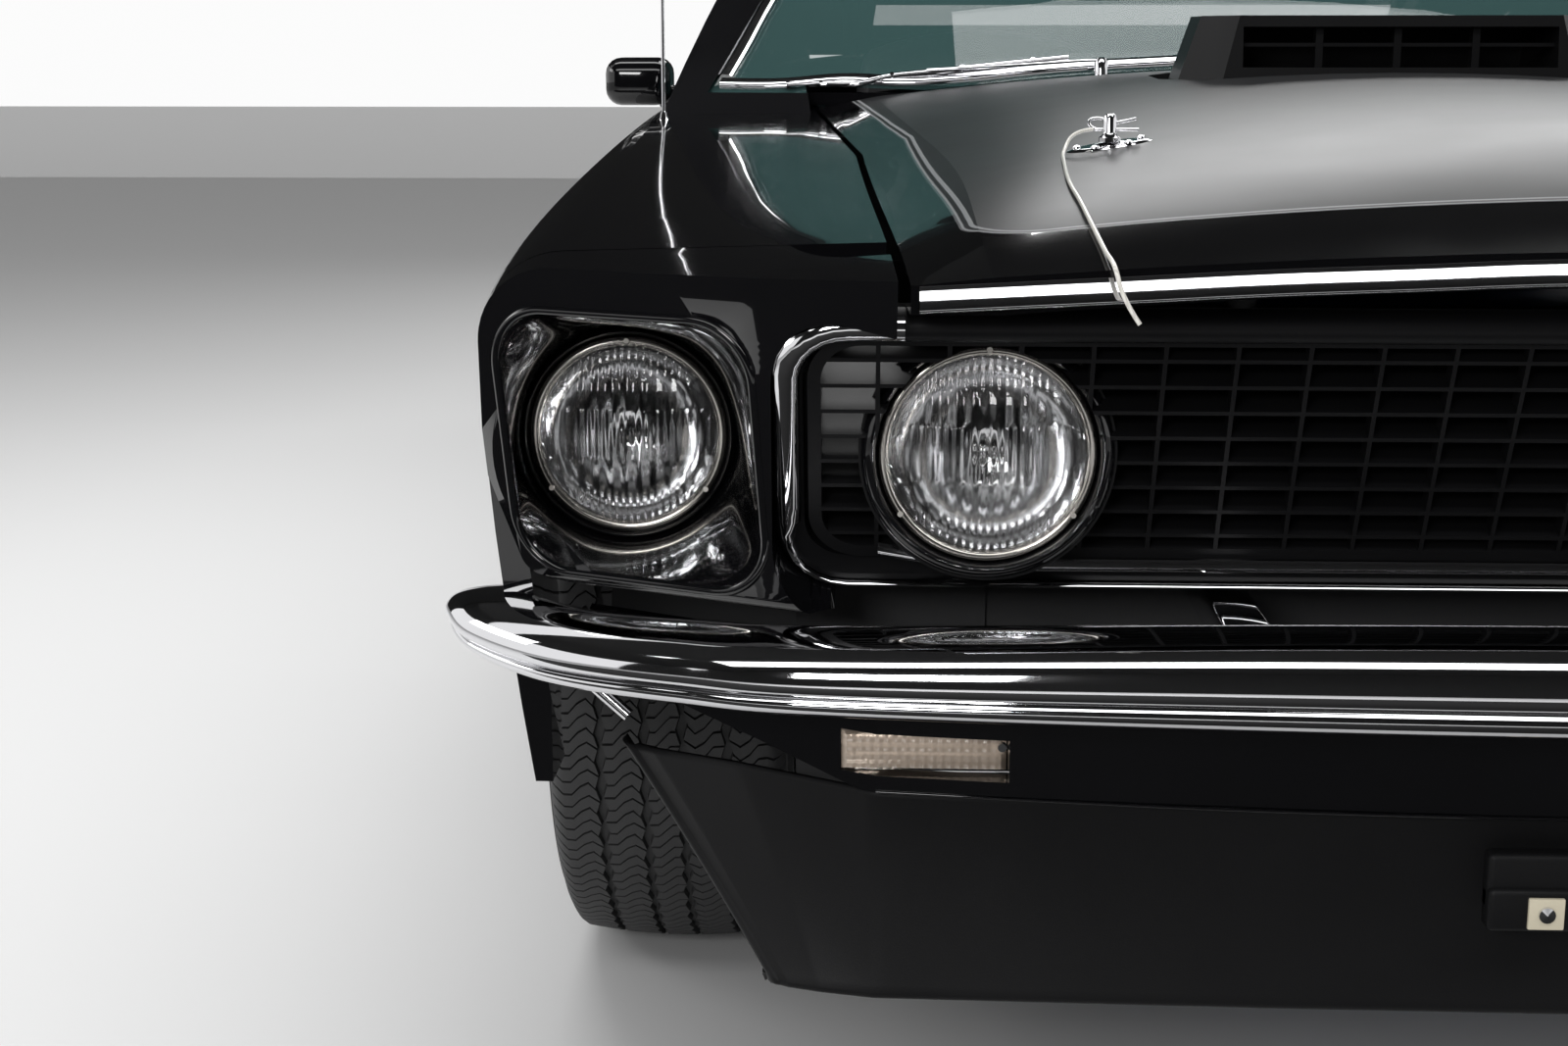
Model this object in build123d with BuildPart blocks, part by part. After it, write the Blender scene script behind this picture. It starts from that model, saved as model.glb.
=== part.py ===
from build123d import *
import os
from collections import namedtuple
from math import atan2, cos, degrees, radians, sin, sqrt, tan

os.makedirs("parts", exist_ok=True)

# A two-door fastback muscle car. The nose points to -Y, the car's left side is at +X, the ground is Z = 0
# and the origin is on the ground under the middle of the overall length. All sizes are millimetres.

# Overall sizes
overall_length = 4760.0
front_overhang = 940.0
wheelbase = 2743.0
front_y = -overall_length / 2
rear_y = overall_length / 2
front_axle_y = front_y + front_overhang
rear_axle_y = front_axle_y + wheelbase

# Walls and gaps
panel_gap = 7.0
seat_gap = 0.3
panel_wall = 22.0
quarter_wall = 60.0
door_wall = 110.0
roof_wall = 34.0
glass_thickness = 5.0
glass_set_in = 9.0

# Wheels and tyres
track = 1510.0
tyre_radius = 331.0
tyre_width = 236.0
tread_width = 196.0
rim_radius = 196.0
rim_width = 218.0
rim_flange = 10.0
rim_wall = 8.0
spoke_count = 5
hub_radius = 72.0
spindle_radius = 19.0
running_clearance = 0.05
brake_radius = 140.0
brake_thickness = 24.0
arch_radius = 366.0
wheel_x = track / 2
axle_z = tyre_radius
kingpin_inset = 66.0
kingpin_x = wheel_x - kingpin_inset

# Panel lines along the car
door_front_y = -846.0
door_rear_y = 336.0
hood_front_y = -2338.0
hood_rear_y = -990.0
hood_corner_y = -915.0
fender_front_y = -2150.0
boot_front_y = 1500.0
boot_rear_y = 2259.0
tail_y = 2290.0
sill_top_z = 318.0
belt_drop = 4.0

# Lower body sections. Columns: place along the car, centre height, bulge-edge half width and height, hood-gap
# half width and height, shoulder corner and its rounding, widest and lowest half width and height.
Section = namedtuple("Section", "y zc xb zb xg zg xp zp turn xw zw xl zl")
sections = [
    Section(-2345, 802, 490, 784, 545, 779, 824, 753, 54, 824, 645, 776, 400),
    Section(-2080, 857, 495, 816, 549, 793, 846, 790, 62, 852, 662, 815, 320),
    Section(-1440, 893, 520, 838, 580, 816, 843, 825, 44, 894, 690, 878, 215),
    Section(-846, 902, 570, 867, 640, 853, 846, 845, 30, 903, 700, 876, 200),
    Section(300, 890, 560, 877, 640, 872, 851, 858, 30, 906, 704, 878, 200),
    Section(1303, 912, 540, 902, 630, 898, 845, 878, 36, 902, 716, 880, 215),
    Section(1850, 912, 520, 903, 615, 900, 818, 880, 44, 872, 706, 836, 262),
    Section(2290, 908, 500, 899, 600, 894, 782, 878, 44, 830, 690, 790, 340),
]
flank_bulge = 4.0


def section_face(section, side_inset, top_inset, floor_inset):
    s = section
    points = {
        "low": (s.xl - side_inset, s.zl + floor_inset),
        "wide": (s.xw - side_inset, s.zw),
        "peak": (s.xp - side_inset, s.zp - top_inset),
        "gap": (s.xg - side_inset, s.zg - top_inset),
        "bulge": (s.xb - side_inset, s.zb - top_inset),
    }
    crown = (0, s.zc - top_inset)
    flank = ((s.xl + s.xw) / 2 - side_inset + flank_bulge, (s.zl + s.zw) / 2)

    def other(point):
        return (-point[0], point[1])

    with BuildLine() as outline:
        Line(other(points["low"]), points["low"])
        ThreePointArc(points["low"], flank, points["wide"])
        FilletPolyline(points["wide"], points["peak"], points["gap"], radius=s.turn - top_inset)
        Line(points["gap"], points["bulge"])
        ThreePointArc(points["bulge"], crown, other(points["bulge"]))
        Line(other(points["bulge"]), other(points["gap"]))
        FilletPolyline(other(points["gap"]), other(points["peak"]), other(points["wide"]), radius=s.turn - top_inset)
        ThreePointArc(other(points["wide"]), other(flank), other(points["low"]))
    return outline


def lower_body(side_inset=0.0, top_inset=0.0, floor_inset=0.0):
    with BuildPart() as body:
        for section in sections:
            with BuildSketch(Plane.XZ.offset(-section.y)):
                add(section_face(section, side_inset, top_inset, floor_inset).line)
                make_face()
        loft()
    return body.part


# Upper body: a tapered cross-section, a roof line and a raked plan outline, intersected.
base_z = 790.0
base_half_width = 840.0
rail_half_width = 668.0
rail_z = 1200.0
roof_edge_half_width = 600.0
roof_edge_z = 1247.0
roof_z = 1278.0
screen_base_y = -952.0
screen_base_z = 895.0
screen_corner_y = -868.0
screen_corner_x = 812.0
header_y = -335.0
header_z = 1240.0
rake_run = header_y - screen_base_y
rake_rise = header_z - screen_base_z
rake_length = sqrt(rake_run**2 + rake_rise**2)
roof_rear_y = 640.0
roof_rear_z = 1236.0
slope_foot_y = 1490.0
slope_foot_z = 936.0
rear_taper_x = 690.0


def upper_body(inset=0.0):
    base = (base_half_width - inset, base_z)
    rail = (rail_half_width - inset, rail_z)
    edge = (roof_edge_half_width - inset, roof_edge_z - inset)
    side = ((base[0] + rail[0]) / 2 + 16, (base[1] + rail[1]) / 2)
    rounding = ((rail[0] + edge[0]) / 2 + 10, (rail[1] + edge[1]) / 2 + 8)

    def other(point):
        return (-point[0], point[1])

    # Prism along the car with the leaning sides and the crowned roof.
    with BuildPart() as cross:
        with BuildSketch(Plane.XZ.offset(1400)):
            with BuildLine():
                Line(other(base), base)
                ThreePointArc(base, side, rail)
                ThreePointArc(rail, rounding, edge)
                ThreePointArc(edge, (0, roof_z - inset), other(edge))
                ThreePointArc(other(edge), other(rounding), other(rail))
                ThreePointArc(other(rail), other(side), other(base))
            make_face()
        extrude(amount=-3800)
    # Side view of the roof and the fast back.
    roof_front = (header_y - 60, header_z - inset)
    roof_rear = (roof_rear_y, roof_rear_z - inset)
    with BuildPart() as profile:
        with BuildSketch(Plane.YZ.offset(-1000)):
            with BuildLine():
                ThreePointArc(roof_front, (60, roof_z + 2 - inset), roof_rear)
                Line(roof_rear, (slope_foot_y, slope_foot_z - inset))
                Line((slope_foot_y, slope_foot_z - inset), (slope_foot_y, base_z - 5))
                Line((slope_foot_y, base_z - 5), (-1390, base_z - 5))
                Line((-1390, base_z - 5), (-1390, header_z - 100 - inset))
                Line((-1390, header_z - 100 - inset), roof_front)
            make_face()
        extrude(amount=2000)
    # Plan outline with the bowed screen, leaned back at the rake of the screen.
    drop = (screen_base_z - base_z + 10) / rake_rise * rake_run
    back = inset * rake_length / rake_rise
    reach = 900.0
    nose_y = screen_base_y - drop + back
    corner_y = nose_y + (screen_corner_y - screen_base_y) * (reach / screen_corner_x) ** 2
    with BuildPart() as rake:
        with BuildSketch(Plane.XY.offset(base_z - 10)):
            with BuildLine():
                ThreePointArc((-reach, corner_y), (0, nose_y), (reach, corner_y))
                Polyline(
                    (reach, corner_y),
                    (reach, -300),
                    (base_half_width - inset, 100),
                    (rear_taper_x - inset, 2050),
                    (-rear_taper_x + inset, 2050),
                    (-base_half_width + inset, 100),
                    (-reach, -300),
                    (-reach, corner_y),
                )
            make_face()
        extrude(amount=rake_length * 1.9, dir=(0, rake_run, rake_rise))
    return cross.part & profile.part & rake.part


def side_prism(outline, x_from, x_to):
    with BuildPart() as prism:
        with BuildSketch(Plane.YZ.offset(x_from)):
            with BuildLine():
                Polyline(*outline, close=True)
            make_face()
        extrude(amount=x_to - x_from)
    return prism.part


def front_prism(outline, y_from, y_to):
    with BuildPart() as prism:
        with BuildSketch(Plane.XZ.offset(-y_from)):
            with BuildLine():
                Polyline(*outline, close=True)
            make_face()
        extrude(amount=y_from - y_to)
    return prism.part


def plan_prism(outline, z_from, z_to, lean=0.0):
    rise = z_to - z_from
    with BuildPart() as prism:
        with BuildSketch(Plane.XY.offset(z_from)):
            with BuildLine():
                Polyline(*outline, close=True)
            make_face()
        extrude(amount=rise * sqrt(1 + lean**2), dir=(0, lean, 1))
    return prism.part


def block(low, high):
    with BuildPart() as solid:
        with Locations(((low[0] + high[0]) / 2, (low[1] + high[1]) / 2, (low[2] + high[2]) / 2)):
            Box(high[0] - low[0], high[1] - low[1], high[2] - low[2])
    return solid.part


def cross_cylinder(radius, y, z, x_from, x_to):
    with BuildPart() as solid:
        with BuildSketch(Plane.YZ.offset(x_from)):
            with Locations((y, z)):
                Circle(radius)
        extrude(amount=x_to - x_from)
    return solid.part


def long_cylinder(radius, x, z, y_from, y_to):
    with BuildPart() as solid:
        with BuildSketch(Plane.XZ.offset(-y_from)):
            with Locations((x, z)):
                Circle(radius)
        extrude(amount=y_from - y_to)
    return solid.part


def upright_cylinder(radius, x, y, z_from, z_to):
    with BuildPart() as solid:
        with BuildSketch(Plane.XY.offset(z_from)):
            with Locations((x, y)):
                Circle(radius)
        extrude(amount=z_to - z_from)
    return solid.part


def rod(start, end, radius):
    direction = Vector(*end) - Vector(*start)
    with BuildPart() as solid:
        with BuildSketch(Plane(origin=start, z_dir=direction)):
            Circle(radius)
        extrude(amount=direction.length)
    return solid.part


def both_sides(part):
    return part + part.mirror(Plane.YZ)


def finish(part, name):
    part.label = name
    export_step(part, f"parts/{name}.step")


outer_skin = lower_body()
inner_skin = lower_body(panel_wall, panel_wall, panel_wall)
raised_skin = outer_skin.moved(Location((0, 0, seat_gap)))
thin_shell = outer_skin - inner_skin
door_shell = outer_skin - lower_body(door_wall, panel_wall, panel_wall)
quarter_shell = outer_skin - lower_body(quarter_wall, panel_wall, panel_wall)
cabin_outer = upper_body()
cabin_inner = upper_body(roof_wall)
glass_shell = upper_body(glass_set_in) - upper_body(glass_set_in + glass_thickness)

# Hood, with the hole that the scoop stands through
scoop_front_y = -1262.0
scoop_rear_y = -1040.0
scoop_half_width = 240.0
scoop_hole_margin = 9.0
hood_front_x = 545.0
hood_middle_x = 580.0
hood_rear_x = 640.0


def hood_outline(change, front_y, rear_y):
    flare = (hood_middle_x - hood_front_x) / (front_axle_y - hood_front_y)
    front_x = hood_front_x + change + (front_y - hood_front_y) * flare
    with BuildPart() as prism:
        with BuildSketch(Plane.XY.offset(600)):
            with BuildLine():
                front = (front_x, front_y)
                middle = (hood_middle_x + change, front_axle_y)
                corner = (hood_rear_x + change, rear_y + hood_corner_y - hood_rear_y)
                Polyline(corner, middle, front, (-front[0], front[1]), (-middle[0], middle[1]), (-corner[0], corner[1]))
                ThreePointArc((-corner[0], corner[1]), (0, rear_y), corner)
            make_face()
        extrude(amount=500)
    return prism.part


def scoop_outline(margin):
    half = scoop_half_width + margin
    front = scoop_front_y - margin
    rear = scoop_rear_y + margin
    return [
        (half - 40, rear),
        (half, rear - 50),
        (half, front + 90),
        (half - 40, front),
        (-half + 40, front),
        (-half, front + 90),
        (-half, rear - 50),
        (-half + 40, rear),
    ]


with BuildPart() as hood:
    add(thin_shell)
    add(hood_outline(-panel_gap / 2, hood_front_y, hood_rear_y), mode=Mode.INTERSECT)
    add(plan_prism(scoop_outline(scoop_hole_margin), 700, 1000), mode=Mode.SUBTRACT)
    add(block((-640, hood_front_y - 10, 700), (640, hood_front_y + 98, 762)), mode=Mode.SUBTRACT)
finish(hood.part, "hood")

# Bright moulding on the front edge of the hood
moulding_half_width = hood_front_x - panel_gap
with BuildPart() as hood_moulding:
    add(thin_shell)
    add(
        block((-moulding_half_width, -2400, 764), (moulding_half_width, hood_front_y - seat_gap, 830)),
        mode=Mode.INTERSECT,
    )
finish(hood_moulding.part, "hood_moulding")

# The outer lamps and the tubes that hold them
lamp_x = 748.0
lamp_y = -2075.0
lamp_z = 640.0
lamp_radius = 75.0
lamp_depth = 58.0
bucket_tube_radius = 89.0

# Front fenders, behind the corner pieces that hold the outer lamps
fender_seam = 3.0
fender_low_z = 205.0
nose_low_z = 390.0
cowl_rear_y = door_front_y - panel_gap
hood_space = hood_outline(panel_gap / 2, -3000, hood_rear_y + panel_gap)


def cowl_zone(corner_x):
    corner = (corner_x, hood_corner_y + panel_gap)
    with BuildPart() as prism:
        with BuildSketch(Plane.XY.offset(600)):
            with BuildLine():
                ThreePointArc((-corner[0], corner[1]), (0, hood_rear_y + panel_gap), corner)
                Polyline(corner, (corner[0], cowl_rear_y), (-corner[0], cowl_rear_y), (-corner[0], corner[1]))
            make_face()
        extrude(amount=400)
    return prism.part


with BuildPart() as fender:
    add(thin_shell)
    add(block((500, fender_front_y, fender_low_z), (1000, cowl_rear_y, 900)), mode=Mode.INTERSECT)
    add(long_cylinder(bucket_tube_radius + seat_gap, lamp_x, lamp_z, -2200, -1990), mode=Mode.SUBTRACT)
    add(hood_space, mode=Mode.SUBTRACT)
    add(cowl_zone(hood_rear_x + panel_gap / 2), mode=Mode.SUBTRACT)
    add(block((0, -3000, 0), (800, 0, 560)), mode=Mode.SUBTRACT)
    add(cross_cylinder(arch_radius, front_axle_y, axle_z, 600, 1000), mode=Mode.SUBTRACT)
    add(block((500, -3000, 0), (1000, front_axle_y, nose_low_z)), mode=Mode.SUBTRACT)
fenders = both_sides(fender.part)
finish(fenders, "fenders")

# Sizes of the grille, which leans forward, and of its frame
grille_half_width = 608.0
grille_low_z = 578.0
grille_top_z = 743.0
grille_top_y = -2282.0
grille_lean = 24.0
grille_columns = 26
grille_rows = 9
vertical_bar = 3.0
vertical_depth = 14.0
shelf_bar = 3.0
shelf_depth = 30.0
grille_rim = 9.0
grille_corner = 36.0
lamp_hole_radius = 84.0
lamp_bezel_radius = 87.0
grille_height = (grille_top_z - grille_low_z) / cos(radians(grille_lean))
grille_middle_z = (grille_top_z + grille_low_z) / 2
grille_middle_y = grille_top_y + (grille_top_z - grille_middle_z) * tan(radians(grille_lean))
grille_plane = Plane(
    origin=(0, grille_middle_y, grille_middle_z),
    x_dir=(1, 0, 0),
    z_dir=(0, -cos(radians(grille_lean)), -sin(radians(grille_lean))),
)
trim_half_width = 631.7
trim_low_z = 557.0
trim_top_z = 755.0
trim_corner = 52.0
trim_height = (trim_top_z - trim_low_z) / cos(radians(grille_lean))
trim_shift = ((trim_top_z + trim_low_z) / 2 - grille_middle_z) / cos(radians(grille_lean))

# Nose corners with the deep buckets of the outer lamps
nose_inner_x = trim_half_width + seat_gap
nose_tongue_x = 590.0
nose_outer_x = 850.0
nose_inner_y = -2276.0
nose_outer_y = -2172.0
nose_bottom_z = 545.0
nose_top_z = 750.0
nose_lean = -0.18
nose_side_x = 846.0
nose_side_turn = 75.0
brow_round = 11.0
rim_round = 4.0
rim_low_x = 641.0
rim_high_x = 827.0
rim_low_z = 553.0
rim_high_z = 749.0
rim_turn = 44.0
nose_slope = (nose_outer_y - nose_inner_y) / (nose_outer_x - nose_inner_x)
nose_gap_y = nose_inner_y - nose_slope * (nose_inner_x - hood_front_x - panel_gap / 2)
nose_plan = [
    (hood_front_x + panel_gap / 2, nose_gap_y),
    (nose_outer_x + 60, nose_outer_y + 60 * nose_slope),
    (nose_outer_x + 60, -1900),
    (hood_front_x + panel_gap / 2, -1900),
]
nose_plan = [(x, y - nose_lean * (nose_top_z - nose_bottom_z)) for x, y in nose_plan]
rim_x = (rim_low_x + rim_high_x) / 2
rim_z = (rim_low_z + rim_high_z) / 2
rim_y = nose_inner_y + nose_slope * (rim_x - nose_inner_x) - nose_lean * (nose_top_z - rim_z)
face_plane = Plane(
    origin=(rim_x, rim_y, rim_z),
    x_dir=(1, nose_slope, 0),
    z_dir=(nose_slope, -1, nose_lean),
)
with BuildPart() as nose:
    add(outer_skin)
    add(plan_prism(nose_plan, nose_bottom_z, 900, nose_lean), mode=Mode.INTERSECT)
    add(block((500, -2400, 500), (900, fender_front_y - fender_seam, 900)), mode=Mode.INTERSECT)
    with BuildSketch(Plane.XZ.offset(1900)):
        with Locations((0, nose_bottom_z + 250)):
            RectangleRounded(2 * nose_side_x, 500, nose_side_turn)
    extrude(amount=500, mode=Mode.INTERSECT)
    front = nose.faces().sort_by(lambda face: face.center().dot(face_plane.z_dir))[-1]
    brow = front.edges().filter_by(lambda edge: edge.center().X > nose_inner_x and edge.center().Z > nose_bottom_z + 1)
    fillet(brow, brow_round)
    add(hood_space, mode=Mode.SUBTRACT)
    with BuildSketch(grille_plane.offset(80)):
        with Locations((0, trim_shift)):
            RectangleRounded(2 * nose_inner_x, trim_height + 2 * seat_gap, trim_corner + seat_gap)
    extrude(amount=-300, mode=Mode.SUBTRACT)
    add(block((0, -2400, 500), (nose_tongue_x, -2000, trim_low_z + 90)), mode=Mode.SUBTRACT)
    add(long_cylinder(bucket_tube_radius, lamp_x, lamp_z, -2200, lamp_y + lamp_depth + 10))
    with BuildSketch(face_plane.offset(1)):
        RectangleRounded((rim_high_x - rim_low_x) / face_plane.x_dir.X, rim_high_z - rim_low_z, rim_turn)
    with BuildSketch(Plane.XZ.offset(-lamp_y)):
        with Locations((lamp_x, lamp_z)):
            Circle(lamp_radius + 6)
    loft(mode=Mode.SUBTRACT)
    add(long_cylinder(lamp_radius + seat_gap, lamp_x, lamp_z, lamp_y - 5, lamp_y + lamp_depth), mode=Mode.SUBTRACT)
finish(both_sides(nose.part), "nose_corners")

# Four round lamps: outer ones in the buckets, inner ones in the grille
inner_lamp_x = 487.0
inner_lamp_y = -2240.0
inner_lamp_z = 657.0
lens_radius = 68.0
lens_dome = 14.0


def lamp(x, y, z):
    with BuildPart() as solid:
        with BuildSketch(Plane.XZ.offset(-y)):
            with Locations((x, z)):
                Circle(lamp_radius)
        extrude(amount=-(lamp_depth - seat_gap))
        with BuildSketch(Plane.XZ.offset(-y)):
            with Locations((x, z)):
                Circle(lens_radius)
        extrude(amount=lens_dome, taper=35)
    return solid.part


outer_lamp = lamp(lamp_x, lamp_y, lamp_z)
inner_lamp = lamp(inner_lamp_x, inner_lamp_y, inner_lamp_z)
headlamps = both_sides(outer_lamp + inner_lamp)
finish(headlamps, "headlamps")

# Grille: an egg-crate mesh that leans forward, round the inner lamps, in a bright two-step frame
column_pitch = 2 * grille_half_width / grille_columns
row_pitch = grille_height / grille_rows
with BuildPart() as grille:
    with BuildSketch(grille_plane):
        RectangleRounded(2 * grille_half_width, grille_height, grille_corner)
        RectangleRounded(
            2 * grille_half_width - 2 * grille_rim,
            grille_height - 2 * grille_rim,
            grille_corner - grille_rim,
            mode=Mode.SUBTRACT,
        )
    extrude(amount=-shelf_depth)
    with BuildSketch(grille_plane):
        for column in range(1, grille_columns):
            with Locations((column * column_pitch - grille_half_width, 0)):
                Rectangle(vertical_bar, grille_height - 2)
    extrude(amount=-vertical_depth)
    with BuildSketch(grille_plane):
        for row in range(1, grille_rows):
            with Locations((0, row * row_pitch - grille_height / 2)):
                Rectangle(2 * grille_half_width - grille_rim, shelf_bar)
    extrude(amount=-shelf_depth)
    for side in (-1, 1):
        add(long_cylinder(lamp_bezel_radius, side * inner_lamp_x, inner_lamp_z, inner_lamp_y - 4, inner_lamp_y + 44))
        add(
            long_cylinder(lamp_radius + seat_gap, side * inner_lamp_x, inner_lamp_z, -2400, -2100),
            mode=Mode.SUBTRACT,
        )
finish(grille.part, "grille")

with BuildPart() as grille_trim:
    with BuildSketch(grille_plane.offset(2)):
        with Locations((0, trim_shift)):
            RectangleRounded(2 * trim_half_width, trim_height, trim_corner)
        RectangleRounded(
            2 * grille_half_width + 2 * seat_gap,
            grille_height + 2 * seat_gap,
            grille_corner + seat_gap,
            mode=Mode.SUBTRACT,
        )
    extrude(amount=-14)
    for side in (-1, 1):
        add(
            long_cylinder(lamp_bezel_radius + seat_gap, side * inner_lamp_x, inner_lamp_z, -2300, -2100),
            mode=Mode.SUBTRACT,
        )
finish(grille_trim.part, "grille_trim")

# Front bumper, a bowed blade that wraps round the corners
bumper_wall = 20.0


def bumper_wire(inset, shape):
    direction = shape.direction
    flat = (shape.flat_x - inset * 0.3, shape.face_y + direction * (shape.flat_drop + inset))
    turn = (shape.turn_x - inset, shape.face_y + direction * (shape.turn_drop + inset * 0.7))
    tip = (shape.tip_x - inset, shape.face_y + direction * shape.reach)
    Polyline((-tip[0], tip[1]), (-turn[0], turn[1]), (-flat[0], flat[1]))
    ThreePointArc((-flat[0], flat[1]), (0, shape.face_y + direction * inset), flat)
    Polyline(flat, turn, tip)
    return tip


# Columns: face at the middle, way to the car, then half width and drop of the flat part, the turn and the tip,
# the lowest and highest edge, and the brackets' place, height and far end
Bumper = namedtuple(
    "Bumper",
    "face_y direction flat_x flat_drop turn_x turn_drop tip_x reach low_z top_z bracket_x bracket_z bracket_y",
)
support_front_y = -2116.0
bumpers = {
    "front_bumper": Bumper(
        front_y, 1, 640, 58, 842, 160, 882, 278, 488, 556, 300, 526, support_front_y - seat_gap
    ),
    "rear_bumper": Bumper(rear_y, -1, 720, 34, 876, 84, 892, 290, 420, 500, 300, 444, tail_y + seat_gap),
}
for name, shape in bumpers.items():
    with BuildPart() as blade:
        with BuildSketch(Plane.XY.offset(shape.low_z)):
            with BuildLine():
                outer_tip = bumper_wire(0, shape)
                inner_tip = bumper_wire(bumper_wall, shape)
                Line(outer_tip, inner_tip)
                Line((-outer_tip[0], outer_tip[1]), (-inner_tip[0], inner_tip[1]))
            make_face()
        extrude(amount=shape.top_z - shape.low_z)
        for side in (-1, 1):
            bracket = sorted((side * shape.bracket_x, side * (shape.bracket_x + 30)))
            span = sorted((shape.face_y + shape.direction * 22, shape.bracket_y))
            add(block((bracket[0], span[0], shape.bracket_z), (bracket[1], span[1], shape.bracket_z + 24)))
    finish(blade.part, name)

# Valance, parking lamps and chin spoiler under the bumper
valance_top_z = 520.0
valance_low_z = 420.0
valance_wall = 18.0
spoiler_low_z = 274.0
spoiler_wall = 12.0
rail_front_y = -2212.0
Bow = namedtuple("Bow", "face_y knee_x knee_y end_x end_y")
valance_bow = Bow(-2290, 560, -2252, 772, -2140)
spoiler_top_bow = Bow(-2286, 560, -2248, 745, -2120)
spoiler_low_bow = Bow(-2270, 560, -2262, 628, -2243)


def bow(shape, thickness):
    outer = [(shape.knee_x, shape.knee_y), (shape.end_x, shape.end_y)]
    inner = [(x, y + thickness) for x, y in outer]

    def other(point):
        return (-point[0], point[1])

    Polyline(other(outer[0]), other(outer[1]), other(inner[1]), other(inner[0]))
    ThreePointArc(other(inner[0]), (0, shape.face_y + thickness), inner[0])
    Polyline(inner[0], inner[1], outer[1], outer[0])
    ThreePointArc(outer[0], (0, shape.face_y), other(outer[0]))


def mirrored_outline(right_half):
    return right_half + [(-x, z) for x, z in reversed(right_half)]


parking_x = 527.0
parking_z = 447.0
parking_y = -2240.0
parking_half_width = 58.0
parking_half_height = 15.0
valance_edge = [(800, 700), (800, 494), (772, 484), (729, 468), (640, 442), (572, valance_low_z)]
spoiler_edge = [(800, 100), (800, 402), (690, valance_low_z - seat_gap)]
with BuildPart() as front_valance:
    with BuildSketch(Plane.XY.offset(valance_low_z)):
        with BuildLine():
            bow(valance_bow, valance_wall)
        make_face()
    extrude(amount=valance_top_z - valance_low_z)
    add(front_prism(mirrored_outline(valance_edge), -2400, -2000), mode=Mode.INTERSECT)
    for side in (-1, 1):
        add(
            block(
                (side * parking_x - parking_half_width, -2320, parking_z - parking_half_height),
                (side * parking_x + parking_half_width, -2100, parking_z + parking_half_height),
            ),
            mode=Mode.SUBTRACT,
        )
        low, high = sorted((side * 384, side * 404))
        add(block((low, -2262, valance_low_z + 2), (high, rail_front_y - seat_gap, valance_low_z + 32)))
finish(front_valance.part, "front_valance")

parking = block(
    (parking_x - parking_half_width + seat_gap, parking_y - 8, parking_z - parking_half_height + seat_gap),
    (parking_x + parking_half_width - seat_gap, parking_y + 28, parking_z + parking_half_height - seat_gap),
)
finish(both_sides(parking), "parking_lamps")

with BuildPart() as chin_spoiler:
    with BuildSketch(Plane.XY.offset(valance_low_z - seat_gap)):
        with BuildLine():
            bow(spoiler_top_bow, spoiler_wall)
        make_face()
    with BuildSketch(Plane.XY.offset(spoiler_low_z)):
        with BuildLine():
            bow(spoiler_low_bow, spoiler_wall)
        make_face()
    loft()
    add(front_prism(mirrored_outline(spoiler_edge), -2400, -2000), mode=Mode.INTERSECT)
finish(chin_spoiler.part, "chin_spoiler")

# Rear quarters, from the door to the tail, open at the wheels, the cabin and the boot
tail_panel_y = 2266.0
quarter_front_y = door_rear_y + panel_gap
boot_half_width = 600.0
boot_rear_half_width = 570.0
roof_foot_x = 640.0


def boot_outline(change):
    front = (boot_half_width + change, boot_front_y - change)
    rear = (boot_rear_half_width + change, boot_rear_y + change)
    return plan_prism([front, rear, (-rear[0], rear[1]), (-front[0], front[1])], 500, 1000)


with BuildPart() as quarter:
    add(quarter_shell)
    add(block((0, quarter_front_y, fender_low_z), (1000, tail_panel_y - seat_gap, 1000)), mode=Mode.INTERSECT)
    add(block((0, 0, 0), (roof_foot_x, boot_front_y - panel_gap, 1000)), mode=Mode.SUBTRACT)
    add(boot_outline(panel_gap), mode=Mode.SUBTRACT)
    add(block((0, 0, 0), (780, 3000, 500)), mode=Mode.SUBTRACT)
    add(cross_cylinder(arch_radius, rear_axle_y, axle_z, 600, 1000), mode=Mode.SUBTRACT)
    add(block((0, rear_axle_y, 0), (1000, 3000, 330)), mode=Mode.SUBTRACT)
    add(block((0, 0, 0), (1000, 991, sill_top_z + seat_gap)), mode=Mode.SUBTRACT)
quarter_part = quarter.part
quarters = quarter_part + quarter_part.mirror(Plane.YZ)
finish(quarters, "quarters")

plate_hole_spacing = 177.8
plate_hole_radius = 3.3
plate_z = 580.0
with BuildPart() as tail_panel:
    add(outer_skin)
    add(block((-1000, tail_panel_y, 340), (1000, 2400, 1000)), mode=Mode.INTERSECT)
    add(block((-560, tail_panel_y + 14, 640), (560, 2400, 800)), mode=Mode.SUBTRACT)
    for side in (-1, 1):
        add(
            long_cylinder(plate_hole_radius, side * plate_hole_spacing / 2, plate_z, tail_panel_y - 1, 2400),
            mode=Mode.SUBTRACT,
        )
finish(tail_panel.part, "tail_panel")

tail_lamp = block((300, tail_panel_y + 14 + seat_gap, 650), (550, tail_y + 6, 790))
finish(both_sides(tail_lamp), "tail_lamps")

# Boot lid, hinged at its front edge
with BuildPart() as boot_lid:
    add(thin_shell)
    add(boot_outline(0), mode=Mode.INTERSECT)
    add(block((-1000, 0, 700), (1000, 3000, 1000)), mode=Mode.INTERSECT)
finish(boot_lid.part, "boot_lid")

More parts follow.
